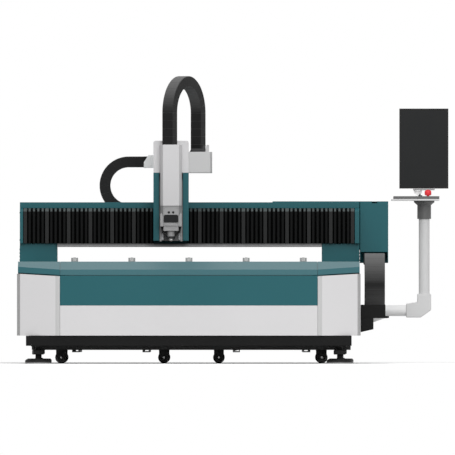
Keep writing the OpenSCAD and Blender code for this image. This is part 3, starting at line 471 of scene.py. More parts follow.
def chain_links(bm, place, width, lower, r, start, stop, count):
    """Links of a chain between two distances, with tapered ends, a narrower core and a bar on both faces."""
    section = chain_section(width)
    step = (stop - start) / count
    full, tapered = 0.995, 0.98

    def ring(s, scale, shape=section):
        at, out = chain_point(s, lower, r)
        return [place(*(at + out * v * scale), w * scale) for v, w in shape]

    for i in range(count):
        s = start + i * step
        body = [(share, full) for share in (0.012, 0.2, 0.35, 0.5, 0.65, 0.8, 0.988)]
        link = [(0.004, tapered), *body, (0.996, tapered)]
        loft(bm, [ring(s + step * share, scale) for share, scale in link])
        for side in (-1, 1):
            bar = [(side * CHAIN_T / 2 * a, b * (width / 2 - 9 * MM))
                   for a, b in ((0.9, -1), (0.9, 1), (1, 0.97), (1, -0.97))]
            loft(bm, [ring(s + step * share, 1, bar) for share in (0.3, 0.7)])
    core = [(v * 0.96, w * 0.96) for v, w in section]
    loft(bm, [ring(start + step * i / 2, 1, core) for i in range(2 * count + 1)])


def cable_chain(name, place, width, lower, upper, r, fixed, moving, axis, bend_weight):
    """A whole chain: its lower run from the fixed body, its bend and its upper run, each built of links."""
    bend = math.pi * r
    hung_across = place(0, 0, 1) - place(0, 0, 0)
    runs = ((f"{name}_lower", 0, lower, 0, bend_weight),
            (f"{name}_upper", lower + bend, upper, bend_weight, 1))
    for run_name, s0, length, first, last in runs:
        count = max(2, round(length / LINK_L))
        for i, j, w_low, w_high in groups(count, first, last):
            s_low, s_high = s0 + length * i / count, s0 + length * j / count
            bm = bmesh.new()
            chain_links(bm, place, width, lower, r, s_low, s_high, j - i)
            obj = piece(f"{run_name}_{i}", bm, "chain_nylon", nodes=(name,))
            ends = [place(*chain_point(s, lower, r)[0], 0).dot(axis) for s in (s_low, s_high)]
            stretch(obj, fixed, moving, axis, *ends, w_low, w_high)
    bm = bmesh.new()
    chain_links(bm, place, width, lower, r, lower, lower + bend, round(bend / LINK_L))
    obj = piece(f"{name}_bend", bm, "chain_nylon", nodes=(name,))
    hold(obj)


def gantry_chain():
    """The long chain from the bed's tray up to the gantry's housing."""
    low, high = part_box("y_chain")
    r = (high.z - low.z - CHAIN_T) / 2
    front = low.y + r + CHAIN_T / 2
    upper_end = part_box("chain_housing")[0].y + 170 * MM
    at = middle("y_chain")
    cable_chain("y_chain", lambda u, v, w: Vector((at.x + w, front + u, at.z + v)), high.x - low.x,
                high.y - front, upper_end - front, r, "bed", "gantry", Y_AXIS, 0.5)


def cross_chain():
    """The chain in the beam's trough, which turns back to a bracket on the carriage."""
    low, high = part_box("x_chain")
    r = (high.z - low.z - CHAIN_T) / 2
    bend_x = low.x + r + CHAIN_T / 2
    bracket_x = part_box("chain_brackets")[0].x
    at = middle("x_chain")
    cable_chain("x_chain", lambda u, v, w: Vector((bend_x + u, at.y + w, at.z + v)), high.y - low.y,
                high.x - bend_x, bracket_x - bend_x, r, "gantry", "carriage", X_AXIS, 0.85)
    slanted_link(bracket_x, low.y, high.y, high.z)
    bracket_plate(bracket_x, low.y - 10 * MM, high.z)


def slanted_link(x, y0, y1, top):
    """The cross chain's last link, cut along the slant of the bracket that takes it."""
    bm = bmesh.new()
    slant_w, slant_h = 27 * MM, 34.5 * MM
    swept(bm, [(x, top - slant_h), (x + slant_w, top), (x, top)], y0, y1)
    piece("x_chain_end_link", bm, "chain_nylon", "carriage", ("x_chain",))


def bracket_plate(x, face, chain_top):
    """A white cover plate with two screws on the front of the bracket that takes the cross chain."""
    bm = bmesh.new()
    x0, x1 = x + 1 * MM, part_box("tower_sides")[0].x + 20 * MM
    z0, z1 = chain_top - 70 * MM, chain_top + 7 * MM
    cut_w, cut_z, front = 27 * MM, z0 + 35 * MM, face - 1.5 * MM
    swept(bm, [(x0, z0), (x1, z0), (x1, z1), (x0 + cut_w, z1), (x0, cut_z)], front, face)
    for z in (z0 + 16 * MM, z1 - 16 * MM):
        screw(bm, (x0 + 43 * MM, front, z), -Y_AXIS, 4 * MM, 2 * MM)
    piece("x_chain_bracket_plate", bm, "grey_paint", "carriage", finish=ARM_WHITE)


def head_chain():
    """The upright chain from the box on the carriage over to the head, in a plane turned about Z."""
    r, width, box_h = 197 * MM, 73 * MM, 46 * MM
    turn = math.radians(63.4)
    across = Vector((math.cos(turn), math.sin(turn), 0))
    sideways = Vector((math.sin(turn), -math.cos(turn), 0))
    box_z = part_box("chain_brackets")[1].z - box_h
    bend = middle("z_chain")
    bend.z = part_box("z_chain")[1].z - r - CHAIN_T / 2
    cable_chain("z_chain", lambda u, v, w: bend - Z_AXIS * u - across * v + sideways * w, width,
                bend.z - box_z, bend.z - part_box("head_cover")[1].z, r, "carriage", "head", Z_AXIS, 0.5)
    chain_foot(bend + across * r, box_z)


def chain_foot(leg, top):
    """The black angle that holds the fixed end of the head chain on its box, with two screws."""
    bm = bmesh.new()
    outline = mm((-54, 0), (-43, 23), (28, 23), (31, 44), (48, 44), (40, 0))
    front = leg.y - 53 * MM
    swept(bm, outline, front, front + 5 * MM, leg.x, top)
    block(bm, (leg.x - 54 * MM, front, top), (leg.x + 40 * MM, front + 90 * MM, top + 4 * MM), 1 * MM)
    for x in (leg.x - 38 * MM, leg.x + 20 * MM):
        screw(bm, (x, front, top + 12 * MM), -Y_AXIS, 5 * MM, 2.5 * MM)
    piece("z_chain_foot", bm, "motor_black", "carriage")


# Bellows

FOLD_D = 32 * MM
FOLD_PITCH = 27.4 * MM
STIFF_EVERY = 5


def bellows_profile(front, z0, z1, depth):
    """One pleat line seen from the side: up the front, back over the sloped top, and down again inside."""
    wall, slope_h, slope_d = 4 * MM, 20 * MM, 33 * MM
    near, far = front + depth, front + slope_d + depth * 0.1
    top = z1 - depth * 0.3
    knee = top - slope_h
    return [(near, z0), (near, knee), (far, top), (far + wall, top - wall), (near + wall, knee - wall),
            (near + wall, z0)]


def pleats(bm, low, high, first, last, count, phase):
    """Folds first to last of the count that fill a box. Every fifth, counted from phase, has a broad flat
    face with a stiffener, and the sloped tops carry a painted highlight, a lighter grey for the light from
    above."""
    pitch = (high.x - low.x) / count
    broad_edge, narrow_edge = 0.1, 0.27

    def ring(place, depth):
        return [(low.x + pitch * place, y, z) for y, z in bellows_profile(low.y, low.z, high.z, depth)]

    rings = []
    for i in range(first, last):
        edge = broad_edge if i % STIFF_EVERY == phase else narrow_edge
        rings += [ring(i, FOLD_D), ring(i + edge, 0), ring(i + 1 - edge, 0)]
    faces = loft(bm, [*rings, ring(last, FOLD_D)])
    points = len(rings[0])
    for i in range(first, last):
        crest = (3 * (i - first) + 1) * points
        if i % STIFF_EVERY == phase:
            faces[crest].material_index = 1
        # painted highlight on the sloped top of every fold
        faces[crest + 1].material_index = 2


def bellows(node, fixed_low, phase):
    """A pleated cover between a gantry column and the carriage, cut into pieces."""
    low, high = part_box(node)
    count = round((high.x - low.x) / FOLD_PITCH)
    first, last = (0, 1) if fixed_low else (1, 0)
    for i, j, w_low, w_high in groups(count, first, last):
        bm = bmesh.new()
        pleats(bm, low, high, i, j, count, phase)
        obj = piece(f"{node}_{i}", bm, "bellows_cloth", nodes=(node,), extra=(STIFFENER, FOLD_TOP_HIGHLIGHT))
        ends = [low.x + (high.x - low.x) * k / count for k in (i, j)]
        stretch(obj, "gantry", "carriage", X_AXIS, *ends, w_low, w_high)


# Feet, wheels and carts

def levelling_feet():
    """Eight feet: a pad with a rubber sole, a stem with thread grooves, a hexagon lock nut and a washer."""
    stems, soles = bmesh.new(), bmesh.new()
    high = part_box("levelling_feet")[1]
    pad_r, stem_r, pitch = 80 * MM, 17 * MM, 6 * MM
    outer_y, inner_y, spread = high.y - pad_r, 1.5, 32 * MM
    sole = mm((77, 0), (80, 3), (80, 10))
    pad = mm((78, 10), (80, 11), (80, 19), (72, 27), (27, 27), (24, 31))
    nut = mm((34, 56), (38, 59), (38, 81), (34, 84))
    washer = [(44 * MM, high.z - 4 * MM), (44 * MM, high.z)]
    thread = []
    z = 32 * MM
    while z < high.z - pitch:
        thread += [(stem_r, z), (stem_r - 2 * MM, z + pitch / 2)]
        z += pitch
    for side in (-1, 1):
        for y in (-outer_y, -inner_y, inner_y, outer_y):
            at = (side * (high.x - pad_r - spread * (outer_y - y) / (2 * outer_y)), y, 0)
            turned(soles, sole, at, Z_AXIS, 40)
            turned(stems, pad + thread + [(stem_r, high.z)], at, Z_AXIS, 40)
            turned(stems, nut, at, Z_AXIS, 6)
            turned(stems, washer, at, Z_AXIS, 32)
    piece("foot_stems", stems, "foot_rubber", "bed", ("levelling_feet",))
    piece("foot_soles", soles, "caster_rubber", "bed")


AXLE_HALF = 20 * MM


def caster_wheels(node, body):
    """A pair of wheels on one axis: a tyre with round shoulders on a dished hub, and an axle with nuts."""
    low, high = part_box(node)
    x = middle(node).x
    tyres, hubs = bmesh.new(), bmesh.new()
    r, half = (high.z - low.z) / 2, 13 * MM
    tyre = [(25 * MM, -half), (r - 4 * MM, -half), (r - 1.2 * MM, 2.5 * MM - half), (r, 7 * MM - half)]
    hub = mm((8, -12), (14, -12), (16, -8), (23.5, -8), (25.4, -12))
    nut = mm((6, -20), (8.5, -20), (9.5, -18.5), (9.5, -13.2))

    def whole(outline):
        return outline + [(radius, -h) for radius, h in reversed(outline)]

    for y in (low.y + AXLE_HALF, high.y - AXLE_HALF):
        at = (x, y, low.z + r)
        turned(tyres, whole(tyre), at, Y_AXIS, 36)
        turned(hubs, whole(hub), at, Y_AXIS, 28)
        turned(hubs, whole(nut), at, Y_AXIS, 6)
    piece(f"{node}_tyres", tyres, "caster_rubber", body, (node,))
    piece(f"{node}_hubs", hubs, "bare_steel", body)


def caster_forks(body, nodes):
    """Pressed cheeks on both sides of each wheel, welded under the cart's floor, with bright axle bolts."""
    cheeks, bolts = bmesh.new(), bmesh.new()
    inner, outer = 13.7 * MM, 20.3 * MM
    cheek = mm((-30.5, 47), (30.5, 47), (30.5, 10), (23, -6), (15, -13), (-15, -13), (-23, -6), (-30.5, 10))
    bolt = mm((8, 0), (8, 2.5), (6.5, 4))
    for node in nodes:
        low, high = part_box(node)
        x, _, z = middle(node)
        for y in (low.y + AXLE_HALF, high.y - AXLE_HALF):
            for side in (-1, 1):
                swept(cheeks, cheek, y + side * inner, y + side * outer, x, z)
                turned(bolts, bolt, (x, y + side * outer, z), Y_AXIS * side, 6)
    piece(f"{body}_forks", cheeks, "black_paint", body, finish=CART_BLACK)
    piece(f"{body}_axle_bolts", bolts, "bare_steel", body, finish=BOLT_CHROME)


def cart_runners(body, node, centres):
    """Zinc-plated channels along a cart's underside, open at both ends."""
    bm = bmesh.new()
    low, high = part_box(node)
    half, wall, inset, z0, z1 = 21.6 * MM, 5.2 * MM, 3 * MM, 69.4 * MM, 83.8 * MM
    outline = [(-half, z0), (half, z0), (half, z1), (half - wall, z1), (half - wall, z0 + wall),
               (wall - half, z0 + wall), (wall - half, z1), (-half, z1)]
    for x in centres:
        swept(bm, outline, low.y + inset, high.y - inset, x)
    piece(f"{body}_runners", bm, "roller_steel", body)


# Bed

def guide_rails():
    """Two profiled rails with capped bolt holes, and two racks with straight teeth."""
    low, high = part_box("y_guides")
    rail_x, rail_h, rack_w = 884 * MM, 28 * MM, 30 * MM
    tooth, depth, bolts = 15.7 * MM, 11 * MM, 35
    rails, racks, caps = bmesh.new(), bmesh.new(), bmesh.new()
    flank = mm((14, 0), (14, 9), (9.5, 12), (9.5, 17), (14, 20), (14, 26), (12, 28))
    profile = flank + [(-u, v) for u, v in reversed(flank)]
    root = high.z - depth
    rack = [(low.y, low.z), (low.y, root)]
    for i in range(int((high.y - low.y) / tooth)):
        rack += [(low.y + tooth * (i + share), z)
                 for share, z in ((0.15, root), (0.38, high.z), (0.62, high.z), (0.85, root))]
    rack += [(high.y, root), (high.y, low.z)]
    for side in (-1, 1):
        swept(rails, profile, low.y, high.y, side * rail_x, low.z)
        x = side * (high.x - rack_w / 2)
        extruded(racks, rack, lambda u, v, w: Vector((x + w, u, v)), -rack_w / 2, rack_w / 2)
        for i in range(bolts):
            at = (side * rail_x, low.y + (high.y - low.y) * (i + 0.5) / bolts, low.z + rail_h)
            turned(caps, mm((7, -0.1), (7, 0.2)), at, Z_AXIS, 14)
    piece("guide_rails", rails, "bare_steel", "bed", ("y_guides",))
    piece("gear_racks", racks, "bare_steel", "bed", ("y_guides",))
    piece("rail_bolt_caps", caps, "motor_black", "bed")


def side_panels():
    """Five panels clad each side: two have louvres, and all have two quarter-turn locks and a lower fold."""
    low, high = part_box("side_panels")
    sheets, locks = bmesh.new(), bmesh.new()
    sections, louvred, joint, thick = 5, (1, 3), 6 * MM, 6 * MM
    flange_w, flange_t = 66 * MM, 3 * MM
    lock = mm((13, 0), (13, 0.8), (11.5, 1.5), (5, 1.5))
    length = (high.y - low.y) / sections
    for side in (-1, 1):
        face = side * high.x
        for i in range(sections):
            y0, y1 = low.y + i * length + joint / 2, low.y + (i + 1) * length - joint / 2
            sheet = sorted((face, face - side * thick))
            block(sheets, (sheet[0], y0, low.z), (sheet[1], y1, high.z), 2 * MM)
            fold = sorted((face - side * thick / 2, face - side * flange_w))
            block(sheets, (fold[0], y0, low.z), (fold[1], y1, low.z + flange_t), 0.8 * MM)
            if i in louvred:
                louvres(sheets, face, side, (y0 + y1) / 2, low.z + 90 * MM, 26 * MM, 7)
            for y in (y0 + 45 * MM, y1 - 45 * MM):
                turned(locks, lock, (face, y, high.z - 40 * MM), X_AXIS * side, 20)
    piece("side_cladding", sheets, "white_paint", "bed", ("side_panels",))
    piece("cladding_locks", locks, "motor_black", "bed")


def louvres(bm, face, side, y, z0, pitch, count):
    """A column of pressed louvres: shallow hoods that slope out to a flat underside."""
    half_l, hood_h, hood_d = 150 * MM, 14 * MM, 1.8 * MM
    for k in range(count):
        z = z0 + k * pitch
        rings = []
        for share, depth in ((-1, 0.1), (-0.94, 1), (0.94, 1), (1, 0.1)):
            at, out = y + share * half_l, face + side * hood_d * depth
            rings.append([(face, at, z + hood_h), (out, at, z + hood_h * 0.25), (out, at, z), (face, at, z)])
        loft(bm, rings)


def seam_seals():
    """Rubber lips behind the joint of cover and panel at both ends, and laps under the cover's own joints."""
    bm = bmesh.new()
    low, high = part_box("end_upper_panels")
    sheet, depth, reach, post_w = 4 * MM, 6 * MM, 12 * MM, 40 * MM
    lip = [(0, -reach), (0, reach), (depth / 2, reach), (depth, reach / 2), (depth, -reach / 2),
           (depth / 2, -reach)]
    cover_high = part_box("end_top_covers")[1]
    run, band_z, foot_z = 160 * MM, 580 * MM, 548 * MM
    lap_half, lap_t, gap = 10 * MM, 2 * MM, sheet + 0.2 * MM

    def under_cover(inset):
        return [(inset, foot_z), (inset, band_z - inset), (run - inset, cover_high.z - 1.2 * inset),
                (run - inset, foot_z)]

    lap = under_cover(gap) + under_cover(gap + lap_t)[::-1]
    for end, inward in ((low.y, 1), (high.y, -1)):
        face = end + inward * sheet
        extruded(bm, lip, lambda u, v, w: Vector((w, face + inward * u, high.z + v)),
                 low.x + post_w, high.x - post_w)
        for x in (low.x, high.x):
            extruded(bm, lap, lambda u, v, w: Vector((x + w, end + inward * u, v)), -lap_half, lap_half)
    piece("end_seam_seals", bm, "hose_rubber", "bed")


# Gantry

def gantry_fasteners():
    """Screws along the beam cover, on the chain housing and on the end plate of the beam."""
    bm = bmesh.new()
    low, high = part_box("beam_top_cover")
    hood_low, hood_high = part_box("chain_housing")
    margin, gaps, sunk = 60 * MM, 12, 3.2 * MM
    step_x, step_h = 520 * MM, 6 * MM
    for i in range(gaps + 1):
        x = low.x + margin + i * (high.x - low.x - 2 * margin) / gaps
        z = hood_high.z - (step_h if x < step_x else 0)
        for y in (low.y + 20 * MM, low.y + 318 * MM):
            screw(bm, (x, y, z - sunk), Z_AXIS)
    for z in (hood_low.z + 110 * MM, hood_low.z + 240 * MM, hood_high.z - 25 * MM):
        for y in (hood_low.y + 20 * MM, hood_high.y - 20 * MM):
            screw(bm, (hood_high.x - 2.5 * MM, y, z), X_AXIS)
    plate_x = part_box("gantry_legs")[0].x
    for z in (770 * MM, 940 * MM):
        for y in (low.y + 70 * MM, low.y + 300 * MM):
            screw(bm, (plate_x, y, z), -X_AXIS)
    piece("gantry_screws", bm, "motor_black", "gantry")


def leg_covers():
    """A louvred motor cover on the outer side of each leg."""
    bm = bmesh.new()
    low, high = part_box("gantry_legs")
    y0, y1 = low.y + 120 * MM, high.y - 60 * MM
    z0, z1, sheet = 625 * MM, 735 * MM, 1.2 * MM
    for side, leg in ((-1, low.x), (1, high.x)):
        face = leg + side * sheet
        x0, x1 = sorted((leg, face))
        block(bm, (x0, y0, z0), (x1, y1, z1), 0.5 * MM)
        louvres(bm, face, side, (y0 + y1) / 2, z0 + 15 * MM, 22 * MM, 4)
    piece("leg_motor_covers", bm, "teal_paint", "gantry")


# Carriage and head

def head_fittings():
    """Gas fittings, hoses, indicator lamps and screws round the cutting head."""
    low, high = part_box("cutting_head")
    mid_x, axis_y = middle("cutting_head").x, middle("nozzle").y
    hoses, fittings, lamps, screws = [bmesh.new() for _ in range(4)]
    hose_low, hose_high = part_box("head_hoses")
    hose_r = 6 * MM
    lamp_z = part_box("head_display")[1].z + 18 * MM
    gland, nipple = mm((8, -7), (8, 3), (6.5, 6)), mm((6.5, -5), (7, 3))
    lens = mm((7.5, 0), (7.5, 1.2), (5, 2.2), (2, 2.5))
    for side in (-1, 1):
        top = Vector((mid_x + side * 55 * MM, axis_y, hose_high.z))
        elbow = Vector((mid_x + side * 51 * MM, axis_y, hose_high.z - 38 * MM))
        tip = Vector((mid_x + side * 28 * MM, axis_y, hose_low.z + 5 * MM))
        near_tip = tip + Vector((side * 9 * MM, 0, 9 * MM))
        tube(hoses, [top, top - Z_AXIS * 22 * MM, elbow, near_tip, tip], hose_r)
        turned(fittings, gland, top - Z_AXIS * 9 * MM, -Z_AXIS, 6)
        turned(fittings, nipple, tip, Vector((side, 0, 0.6)).normalized(), 16)
        for z in (low.z + 80 * MM, high.z - 14 * MM):
            screw(screws, (mid_x + side * 40 * MM, low.y, z), -Y_AXIS, 5 * MM, 2 * MM)
        turned(lamps, lens, (mid_x + side * 13.5 * MM, low.y, lamp_z), -Y_AXIS, 16)
    piece("head_gas_hoses", hoses, "hose_rubber", "head", ("head_hoses",))
    piece("head_fittings", fittings, "motor_black", "head")
    piece("head_indicator_lamps", lamps, "dark_plastic", "head")
    piece("head_face_screws", screws, "head_aluminium", "head")


def head_cheeks():
    """Two machined cheeks on the head's sloped flanks, which take the gas fittings."""
    front, mid_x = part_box("cutting_head")[0].y, middle("cutting_head").x
    z0, z1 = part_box("head_hoses")[1].z - 4 * MM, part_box("head_display")[1].z + 14 * MM
    outline = [(49 * MM, z0), (66 * MM, z0), (67 * MM, z0 + 2 * MM), (67 * MM, z1 - 6 * MM), (61 * MM, z1),
               (56 * MM, z1), (49 * MM, z1 - 22 * MM)]
    centre = Vector((58 * MM, (z0 + z1) / 2))
    bm = bmesh.new()
    for side in (-1, 1):
        rings = []
        for depth, inset in ((60 * MM, 1), (3 * MM, 1), (1 * MM, 0.95)):
            corners = [centre + (Vector(corner) - centre) * inset for corner in outline]
            rings.append([Vector((mid_x + side * u, front + depth, v)) for u, v in corners])
        loft(bm, rings)
    piece("head_cheeks", bm, "head_aluminium", "head")


def display_frame():
    """A moulded frame round the head's display, with its two upper corners cut."""
    low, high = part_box("head_display")
    front = low.y - 1.5 * MM

    def ring(grow, low_cut, high_cut, y):
        x0, x1, z0, z1 = low.x - grow, high.x + grow, low.z - grow, high.z + grow
        corners = [(x0 + low_cut, z0), (x1 - low_cut, z0), (x1, z0 + low_cut), (x1, z1 - high_cut),
                   (x1 - high_cut, z1), (x0 + high_cut, z1), (x0, z1 - high_cut), (x0, z0 + low_cut)]
        return [Vector((x, y, z)) for x, z in corners]

    bm = bmesh.new()
    outer = [ring(3.5 * MM, 2 * MM, 7 * MM, y) for y in (high.y, front)]
    inner = [ring(-0.5 * MM, 1 * MM, 2 * MM, y) for y in (front, high.y)]
    loft(bm, [*outer, *inner, outer[0]], capped=False)
    bmesh.ops.remove_doubles(bm, verts=bm.verts, dist=0.01 * MM)
    piece("head_display_frame", bm, "dark_plastic", "head")


def tube(bm, points, r, segments=14, steps=6):
    """A round tube along a smooth curve through points."""
    path = []
    ends = [2 * points[0] - points[1], *points, 2 * points[-1] - points[-2]]
    for a, b, c, d in zip(ends, ends[1:], ends[2:], ends[3:]):
        for i in range(steps):
            t = i / steps
            path.append(0.5 * (2 * b + (c - a) * t + (2 * a - 5 * b + 4 * c - d) * t ** 2
                               + (3 * b - a - 3 * c + d) * t ** 3))
    path.append(points[-1])
    angles = [math.tau * k / segments for k in range(segments)]
    rings = []
    for i, at in enumerate(path):
        ahead = (path[min(i + 1, len(path) - 1)] - path[max(i - 1, 0)]).normalized()
        side = ahead.cross(Y_AXIS).normalized()
        up = side.cross(ahead)
        rings.append([at + (side * math.cos(a) + up * math.sin(a)) * r for a in angles])
    loft(bm, rings)


def chromed_nozzle():
    """A turned nozzle: a grooved flange, a cone and a small bore."""
    low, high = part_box("nozzle")
    at = middle("nozzle")
    r, groove_r = (high.x - low.x) / 2, (high.x - low.x) / 2 - 1 * MM
    bm = bmesh.new()
    tip = mm((1.5, 8), (1.5, 0), (3.5, 0), (4.2, 0.8))
    flange = [(groove_r, 8 * MM), (r, 9 * MM), (r, 12 * MM), (groove_r, 12.5 * MM), (groove_r, 13.5 * MM),
              (r, 14 * MM), (r, high.z - low.z)]
    turned(bm, tip + flange, (at.x, at.y, low.z), Z_AXIS, 36)
    piece("cutting_nozzle", bm, "nozzle_chrome", "head", ("nozzle",))


# Console

def emergency_stop():
    """A mushroom button with a rounded crown on a short stem."""
    low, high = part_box("estop_button")
    at = middle("estop_button")
    r, height, crown_h = (high.x - low.x) / 2, high.z - low.z, 15 * MM
    stem = mm((9, 0), (9, 11), (16, 11)) + [(r - 2 * MM, 14 * MM), (r, 18 * MM)]
    crown = [(r * math.cos(a), height - crown_h + crown_h * math.sin(a))
             for a in (math.radians(d) for d in range(0, 90, 12))]
    bm = bmesh.new()
    turned(bm, stem + crown, (at.x, at.y, low.z), Z_AXIS, 36)
    piece("emergency_stop", bm, "signal_red", "estop", ("estop_button",))


def monitor_fittings():
    """Keys over the monitor's screen, vents and a mounting boss on its back, and a plate on its bracket."""
    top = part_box("monitor_case")[1].z
    low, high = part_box("monitor_screen")
    mid_x = middle("monitor_case").x
    keys, vents, plate = bmesh.new(), bmesh.new(), bmesh.new()
    key_half, key_pitch, key_y = 4 * MM, 16 * MM, low.y - 2.4 * MM
    for k in range(5):
        x = high.x - 20 * MM - k * key_pitch
        block(keys, (x - key_half, key_y, top - 8 * MM), (x + key_half, low.y - 1 * MM, top - 4 * MM),
              0.4 * MM)
    back = low.y + 48 * MM
    vent_half_w, vent_half_h, vent_pitch = 90 * MM, 2.5 * MM, 14 * MM
    for k in range(10):
        z = high.z - 60 * MM - k * vent_pitch
        block(vents, (mid_x - vent_half_w, back - 1 * MM, z - vent_half_h),
              (mid_x + vent_half_w, back + 2 * MM, z + vent_half_h), 1 * MM)
    boss_half, boss_z = 60 * MM, low.z + 150 * MM
    block(vents, (mid_x - boss_half, back - 1 * MM, boss_z - boss_half),
          (mid_x + boss_half, back + 8 * MM, boss_z + boss_half), 4 * MM)
    plate_half, plate_y = 68.4 * MM, low.y - 5.4 * MM
    z0, z1 = low.z - 23.4 * MM, low.z - 12.1 * MM
    block(plate, (mid_x - plate_half, plate_y, z0), (mid_x + plate_half, back + 7.4 * MM, z1), 2 * MM)
    for x in (mid_x - 52 * MM, mid_x + 52 * MM):
        screw(plate, (x, plate_y, (z0 + z1) / 2), -Y_AXIS, 4 * MM, 1.5 * MM)
    piece("monitor_bracket_plate", plate, "head_aluminium", "monitor")
    piece("monitor_keys", keys, "screen_glass", "monitor")
    piece("monitor_back_vents", vents, "dark_plastic", "monitor")


def post_fittings():
    """A clamp knob on the monitor's post and a black collar at its foot."""
    bm = bmesh.new()
    post = middle("monitor_case")
    x, y = post.x - 24 * MM, post.y
    collar, knob = mm((15, 0), (15, 5), (13, 7)), mm((3, 0), (3, 5), (5, 6), (5, 13), (4, 14))
    turned(bm, collar, (x, y, SHELF_TOP_Z), Z_AXIS, 28)
    turned(bm, knob, (x, y - 10 * MM, SHELF_TOP_Z + 12 * MM), -Y_AXIS, 20)
    piece("monitor_post_fittings", bm, "motor_black", "console")


# CAD nodes that stay

SOFT_EDGES_MM = {
    "end_lower_panels": 1.2, "end_upper_panels": 1.2, "corner_panels": 1.2, "end_top_covers": 1.2,
    "base_rails": 2.5, "chain_tray": 1.5, "arm_elbow": 6.0, "slag_cart_left": 1.5, "slag_cart_right": 1.5,
    "gantry_legs": 2.5, "beam_top_cover": 1.2, "beam_guard_strip": 2.5, "gantry_blocks": 1.5,
    "gantry_motors": 3.0, "chain_housing": 1.2, "tower_sides": 1.0, "chain_brackets": 1.2, "head_cover": 1.4,
    "cutting_head": 2.0, "shelf_tray": 2.0, "console_shelf": 2.0, "monitor_case": 3.0, "carriage_motors": 3.0,
    "head_display": 0.8,
}
OWN_FINISH = {
    "beam_guard_strip": SHADED_GUARD_STEEL, "swivel_socket": CAST_GREY, "console_shelf": POST_ON_SHELF,
    "monitor_case": CASE_ON_BRACKET, "chain_brackets": BOX_GREY, "support_arm": ARM_WHITE,
    "end_top_covers": EAVE_TEAL, "corner_panels": CORNER_WHITE, "slag_cart_left": CART_BLACK,
    "slag_cart_right": CART_BLACK,
}


def dress_nodes():
    """Gives each CAD node its own finish or its slot's, and rounds the edges of folded and machined ones."""
    for part in frame["record"]["subparts"]:
        for material_slot in frame["nodes"][part["node"]].material_slots:
            material_slot.material = FINISHES[part["material_slot"]]
    for node, finish in OWN_FINISH.items():
        frame["nodes"][node].material_slots[0].material = finish
    for node, width_mm in SOFT_EDGES_MM.items():
        modifiers = frame["nodes"][node].modifiers
        weld = modifiers.new("weld", "WELD")
        weld.merge_threshold = 0.01 * MM
        merge = modifiers.new("flat_faces", "DECIMATE")
        merge.decimate_type = "DISSOLVE"
        merge.angle_limit = math.radians(1)
        bevel = modifiers.new("round_edges", "BEVEL")
        bevel.width = width_mm * MM
        bevel.segments = 2
        bevel.limit_method = "ANGLE"
        bevel.angle_limit = math.radians(40)
        clean = modifiers.new("clean", "WELD")
        clean.merge_threshold = 0.02 * MM
        modifiers.new("even_shading", "WEIGHTED_NORMAL")


# Stage

FLOOR_R = 7.5


def ray_is(tree, *kinds):
    """1 for rays of these kinds and 0 for all others."""
    path = add(tree, "ShaderNodeLightPath")
    share = (path, kinds[0])
    for kind in kinds[1:]:
        share = (add(tree, "ShaderNodeMath", {"operation": "MAXIMUM"}, {0: share, 1: (path, kind)}), "Value")
    return share


def floor():
    """A pale floor that is white to the camera, keeps the shadow and fades into the background at its rim."""
    bm = bmesh.new()
    bmesh.ops.create_circle(bm, cap_ends=True, radius=FLOOR_R, segments=96)
    material, tree, place = blank("white_studio_floor")
    seen = ray_is(tree, "Is Camera Ray", "Is Glossy Ray")
    plain = add(tree, "ShaderNodeBsdfDiffuse", {"Color": linear("#e6e6e6")})
    bright = add(tree, "ShaderNodeBsdfDiffuse", {"Color": (1.35, 1.35, 1.35, 1.0)})
    reach = add(tree, "ShaderNodeVectorMath", {"operation": "LENGTH"}, {0: place})
    rim = add(tree, "ShaderNodeMapRange", {"From Min": 0.35 * FLOOR_R, "From Max": 0.95 * FLOOR_R,
                                           "interpolation_type": "SMOOTHSTEP"}, {"Value": (reach, "Value")})
    white = add(tree, "ShaderNodeEmission", {"Color": linear("#ffffff"), "Strength": 1.0})
    faded = add(tree, "ShaderNodeMixShader", None,
                {0: (rim, "Result"), 1: (bright, "BSDF"), 2: (white, "Emission")})
    mixed = add(tree, "ShaderNodeMixShader", None,
                {0: seen, 1: (plain, "BSDF"), 2: (faded, "Shader")})
    add(tree, "ShaderNodeOutputMaterial", None, {"Surface": (mixed, "Shader")})
    obj = meshed("studio_floor", bm, (material,))


def studio_world():
    """White to the camera and in reflections, and an even soft light for everything else."""
    world = bpy.data.worlds.new("studio")
    bpy.context.scene.world = world
    world.use_nodes = True
    tree = world.node_tree
    tree.nodes.clear()
    seen = ray_is(tree, "Is Camera Ray", "Is Glossy Ray", "Is Transmission Ray")
    light = add(tree, "ShaderNodeBackground", {"Color": linear("#ffffff"), "Strength": 0.42})
    white = add(tree, "ShaderNodeBackground", {"Color": linear("#ffffff"), "Strength": 1.0})
    mixed = add(tree, "ShaderNodeMixShader", None,
                {0: seen, 1: (light, "Background"), 2: (white, "Background")})
    add(tree, "ShaderNodeOutputWorld", None, {"Surface": (mixed, "Shader")})


def aimed(name, data, at, aim):
    """A new lamp or camera that points at a place."""
    obj = placed(name, data)
    obj.location = at
    obj.rotation_euler = (Vector(aim) - Vector(at)).to_track_quat("-Z", "Y").to_euler()
    return obj


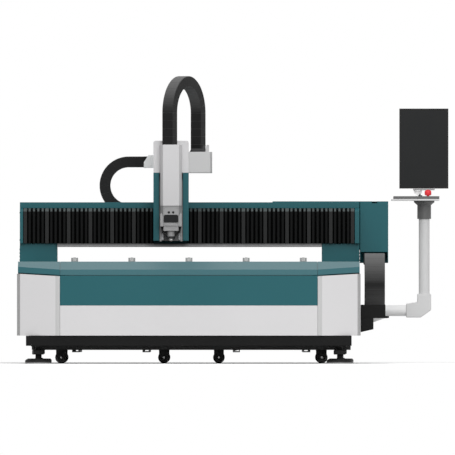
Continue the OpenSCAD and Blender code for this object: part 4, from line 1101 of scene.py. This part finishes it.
def soft_box(name, at, aim, size, power):
    """A square soft lamp pointed at a place."""
    data = bpy.data.lights.new(name, "AREA")
    data.shape = "SQUARE"
    data.size = size
    data.energy = power
    aimed(name, data, at, aim)


PHOTO_PX = 455
MIDDLE_PX = 189
FLOOR_PX = 363.5
MM_PER_PX = 6.2
VIEW_X = (PHOTO_PX / 2 - MIDDLE_PX) * MM_PER_PX * MM
VIEW_Z = (FLOOR_PX - PHOTO_PX / 2) * MM_PER_PX * MM
VIEW_Y = -1.5
CAMERA_AWAY = 130.0
EYE_Z = 0.18
SENSOR_MM = 36.0


def camera():
    """A very long lens near the floor, so that front and gantry keep nearly one scale and feet line up."""
    data = bpy.data.cameras.new("front_camera")
    data.sensor_width = SENSOR_MM
    data.lens = SENSOR_MM * CAMERA_AWAY / (PHOTO_PX * MM_PER_PX * MM)
    data.clip_end = 3 * CAMERA_AWAY
    at = (VIEW_X, VIEW_Y - CAMERA_AWAY, EYE_Z)
    bpy.context.scene.camera = aimed("front_camera", data, at, (VIEW_X, VIEW_Y, VIEW_Z))


RUNNERS_X = {"left": (-0.704, -0.267), "right": (0.731, 0.294)}

camera()
dress_nodes()
gantry_chain()
cross_chain()
head_chain()
bellows("bellows_left", True, 0)
bellows("bellows_right", False, 2)
levelling_feet()
for side in ("left", "right"):
    for row in ("outer", "inner"):
        caster_wheels(f"cart_{side}_wheels_{row}", f"cart_{side}_{row}_wheels")
    caster_forks(f"cart_{side}", (f"cart_{side}_wheels_outer", f"cart_{side}_wheels_inner"))
for side, centres in RUNNERS_X.items():
    cart_runners(f"cart_{side}", f"slag_cart_{side}", centres)
guide_rails()
side_panels()
seam_seals()
gantry_fasteners()
leg_covers()
head_fittings()
head_cheeks()
display_frame()
chromed_nozzle()
emergency_stop()
monitor_fittings()
post_fittings()

floor()
studio_world()
soft_box("overhead_lamp", at=(0.3, -2.5, 6.0), aim=(0.2, -0.8, 0.6), size=6.0, power=175)
soft_box("front_lamp", at=(3.6, -24.0, 9.0), aim=(0.2, 0.0, 0.7), size=13.0, power=2620)
bpy.context.scene.view_settings.view_transform = "Standard"
